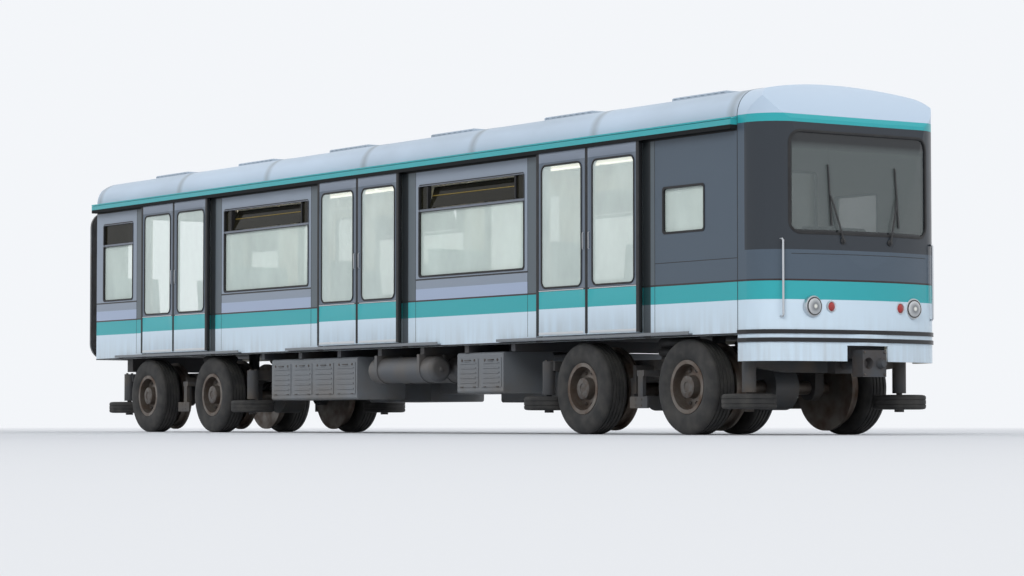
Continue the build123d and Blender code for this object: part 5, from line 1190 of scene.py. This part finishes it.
# Gangway. A plain end wall, pleated rubber bellows and a flat steel coupling frame with a chequered
# footplate.
PLEATS = 5
FOLD_DEEP = 0.045
FOLD_WALL = 0.07
FOLD_CORNER = 0.22
PLATE_HALF = 0.65
FRAME_BOLTS = [(0.975, up) for up in np.linspace(1.3, 2.75, 6)]
end_paint = Finish("end paint")
end_paint.clouded(linear(70, 76, 82), linear(92, 88, 82), 2.5, 0.6).grained(3, 2, 0.001, 0.3)
dress(end_paint, "gangway_end")
gangway_steel = Finish("gangway steel", 0.45, 0.5).clouded(linear(96, 100, 104), linear(80, 72, 64), 4, 0.8)
x, y, z = gangway_steel.place()
tread = (((x + y) * 130.0).sine() * ((x - y) * 130.0).sine()).ramp(0.55, 0.85)
tread = tread * (z > FLOOR_TOP - 0.0005) * (abs(y) < PLATE_HALF)
gangway_steel.bump(tread + gangway_steel.noise(90, 3) * 0.2, 0.0025, 0.7)
dress(gangway_steel, "gangway_frame")
bellows_rubber = Finish("bellows rubber", 0.7)
bellows_rubber.clouded((0.012, 0.012, 0.013), (0.045, 0.043, 0.041), 7, 0.6).grained(60, 3, 0.0015, 0.5)
low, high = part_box("bellows")
share = np.linspace(0, 1, PLEATS * 12 + 1)
wave = 0.5 + 0.5 * np.cos(2 * np.pi * PLEATS * share)
lining = np.maximum(FOLD_WALL + FOLD_DEEP * 0.4 * (1 - wave) - 0.006, FOLD_WALL - 0.006)
inset = np.concatenate([FOLD_DEEP * wave**0.8, lining[::-1]])
station = np.concatenate([share, share[::-1]]) * (high.x - low.x) + low.x
pleats = Shape().hoop(loops((low.y, high.y, low.z, high.z), FOLD_CORNER, zip(inset, station), 0, steps=8))
pleats.made("bellows_pleats", bellows_rubber, "bellows", slot="bellows_rubber", crease=50)
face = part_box("gangway_frame")[0].x + 0.008
bolts = Shape().studs([(face, *spot) for spot in FRAME_BOLTS], 0, mm(11, 1, 11, -6, 8, -8))
bolts.mirrored().made("gangway_bolts", nut_steel, slot="gangway_steel")


# Studio. A pale matt floor that fades into a pale backdrop far out, a wide soft key light over the
# right side, and weaker ones for the nose, the left side and the back.
FLOOR_HALF = 200
FLOOR_TINT = (0.52, 0.53, 0.55)
BACKDROP = (0.9, 0.92, 0.95)
FADE = (12, 46)
WORLD_LIGHT = 0.62
WORLD_TINT = (0.9, 0.94, 1.0)


def viewed(tree):
    """1 for rays from the camera, off gloss and through glass, and 0 for rays that carry light."""
    rays = tree.node("LightPath").outputs
    most = {"operation": "MAXIMUM"}
    seen = tree.node("Math", most, rays["Is Camera Ray"], rays["Is Glossy Ray"])
    return tree.node("Math", most, seen.outputs[0], rays["Is Transmission Ray"]).outputs[0]


ground = Finish("floor", 0.85)
ground.tint(ground.noise(0.6, 3).ramp(0.3, 0.8) * 0.1, FLOOR_TINT, (0.56, 0.57, 0.59))
x, y, z = ground.place()
fade = (x * x + y * y).root().ramp(*FADE) * Value(ground, viewed(ground))
glow = ground.node("Emission", None, (*BACKDROP, 1), 1.0)
mixed = ground.node("MixShader", None, fade, ground.shader.outputs[0], glow.outputs[0])
ground.fill(ground.tree.nodes["Material Output"].inputs[0], mixed.outputs[0])
corners = np.array([[(-1, -1, 0), (-1, 1, 0)], [(1, -1, 0), (1, 1, 0)]]) * FLOOR_HALF
Shape().grid(corners).made("floor", ground, body=None)
world = bpy.data.worlds.new("studio")
bpy.context.scene.world = world
sky = Nodes(world)
lit = sky.tree.nodes["Background"]
sky.fill(lit.inputs["Color"], (*WORLD_TINT, 1))
sky.fill(lit.inputs["Strength"], WORLD_LIGHT)
shown = sky.node("Background", None, (*BACKDROP, 1))
mixed = sky.node("MixShader", None, viewed(sky), lit.outputs[0], shown.outputs[0])
sky.fill(sky.tree.nodes["World Output"].inputs[0], mixed.outputs[0])
# Lamps: name, direction that it shines from, strength, spread in degrees
LAMPS = [
    ("key light", (0.45, -0.75, 0.62), 1.7, 30),
    ("nose light", (0.9, 0.2, 0.4), 0.8, 40),
    ("left light", (-0.3, 0.85, 0.55), 0.9, 40),
    ("rear light", (-0.9, -0.15, 0.45), 0.7, 40),
]
for name, (east, north, up), strength, spread in LAMPS:
    lamp = bpy.data.objects.new(name, bpy.data.lights.new(name, "SUN"))
    bpy.context.scene.collection.objects.link(lamp)
    lamp.data.energy = strength
    lamp.data.angle = math.radians(spread)
    lamp.visible_glossy = False
    lamp.rotation_euler = (math.atan2(math.hypot(east, north), up), 0, math.atan2(north, east) + math.pi / 2)


# Viewpoint. The car is seen along its right side from ahead of the cab, at about 25 degrees to the
# track, by a long lens held just above the floor.
EYE = (DOORS[-1] + 25.125, -19.05, 0.12)
LOOK_AT = (1.61, -0.21, 1.66)
LENS = 104
camera = bpy.data.objects.new("viewpoint", bpy.data.cameras.new("viewpoint"))
bpy.context.scene.collection.objects.link(camera)
camera.location = EYE
camera.data.lens = LENS
camera.data.clip_end = 600
sight = np.subtract(LOOK_AT, EYE)
tilt = math.atan2(sight[2], math.hypot(sight[0], sight[1]))
camera.rotation_euler = (math.pi / 2 + tilt, 0, math.atan2(sight[1], sight[0]) - math.pi / 2)
bpy.context.scene.camera = camera
bpy.context.scene.view_settings.view_transform = "Standard"
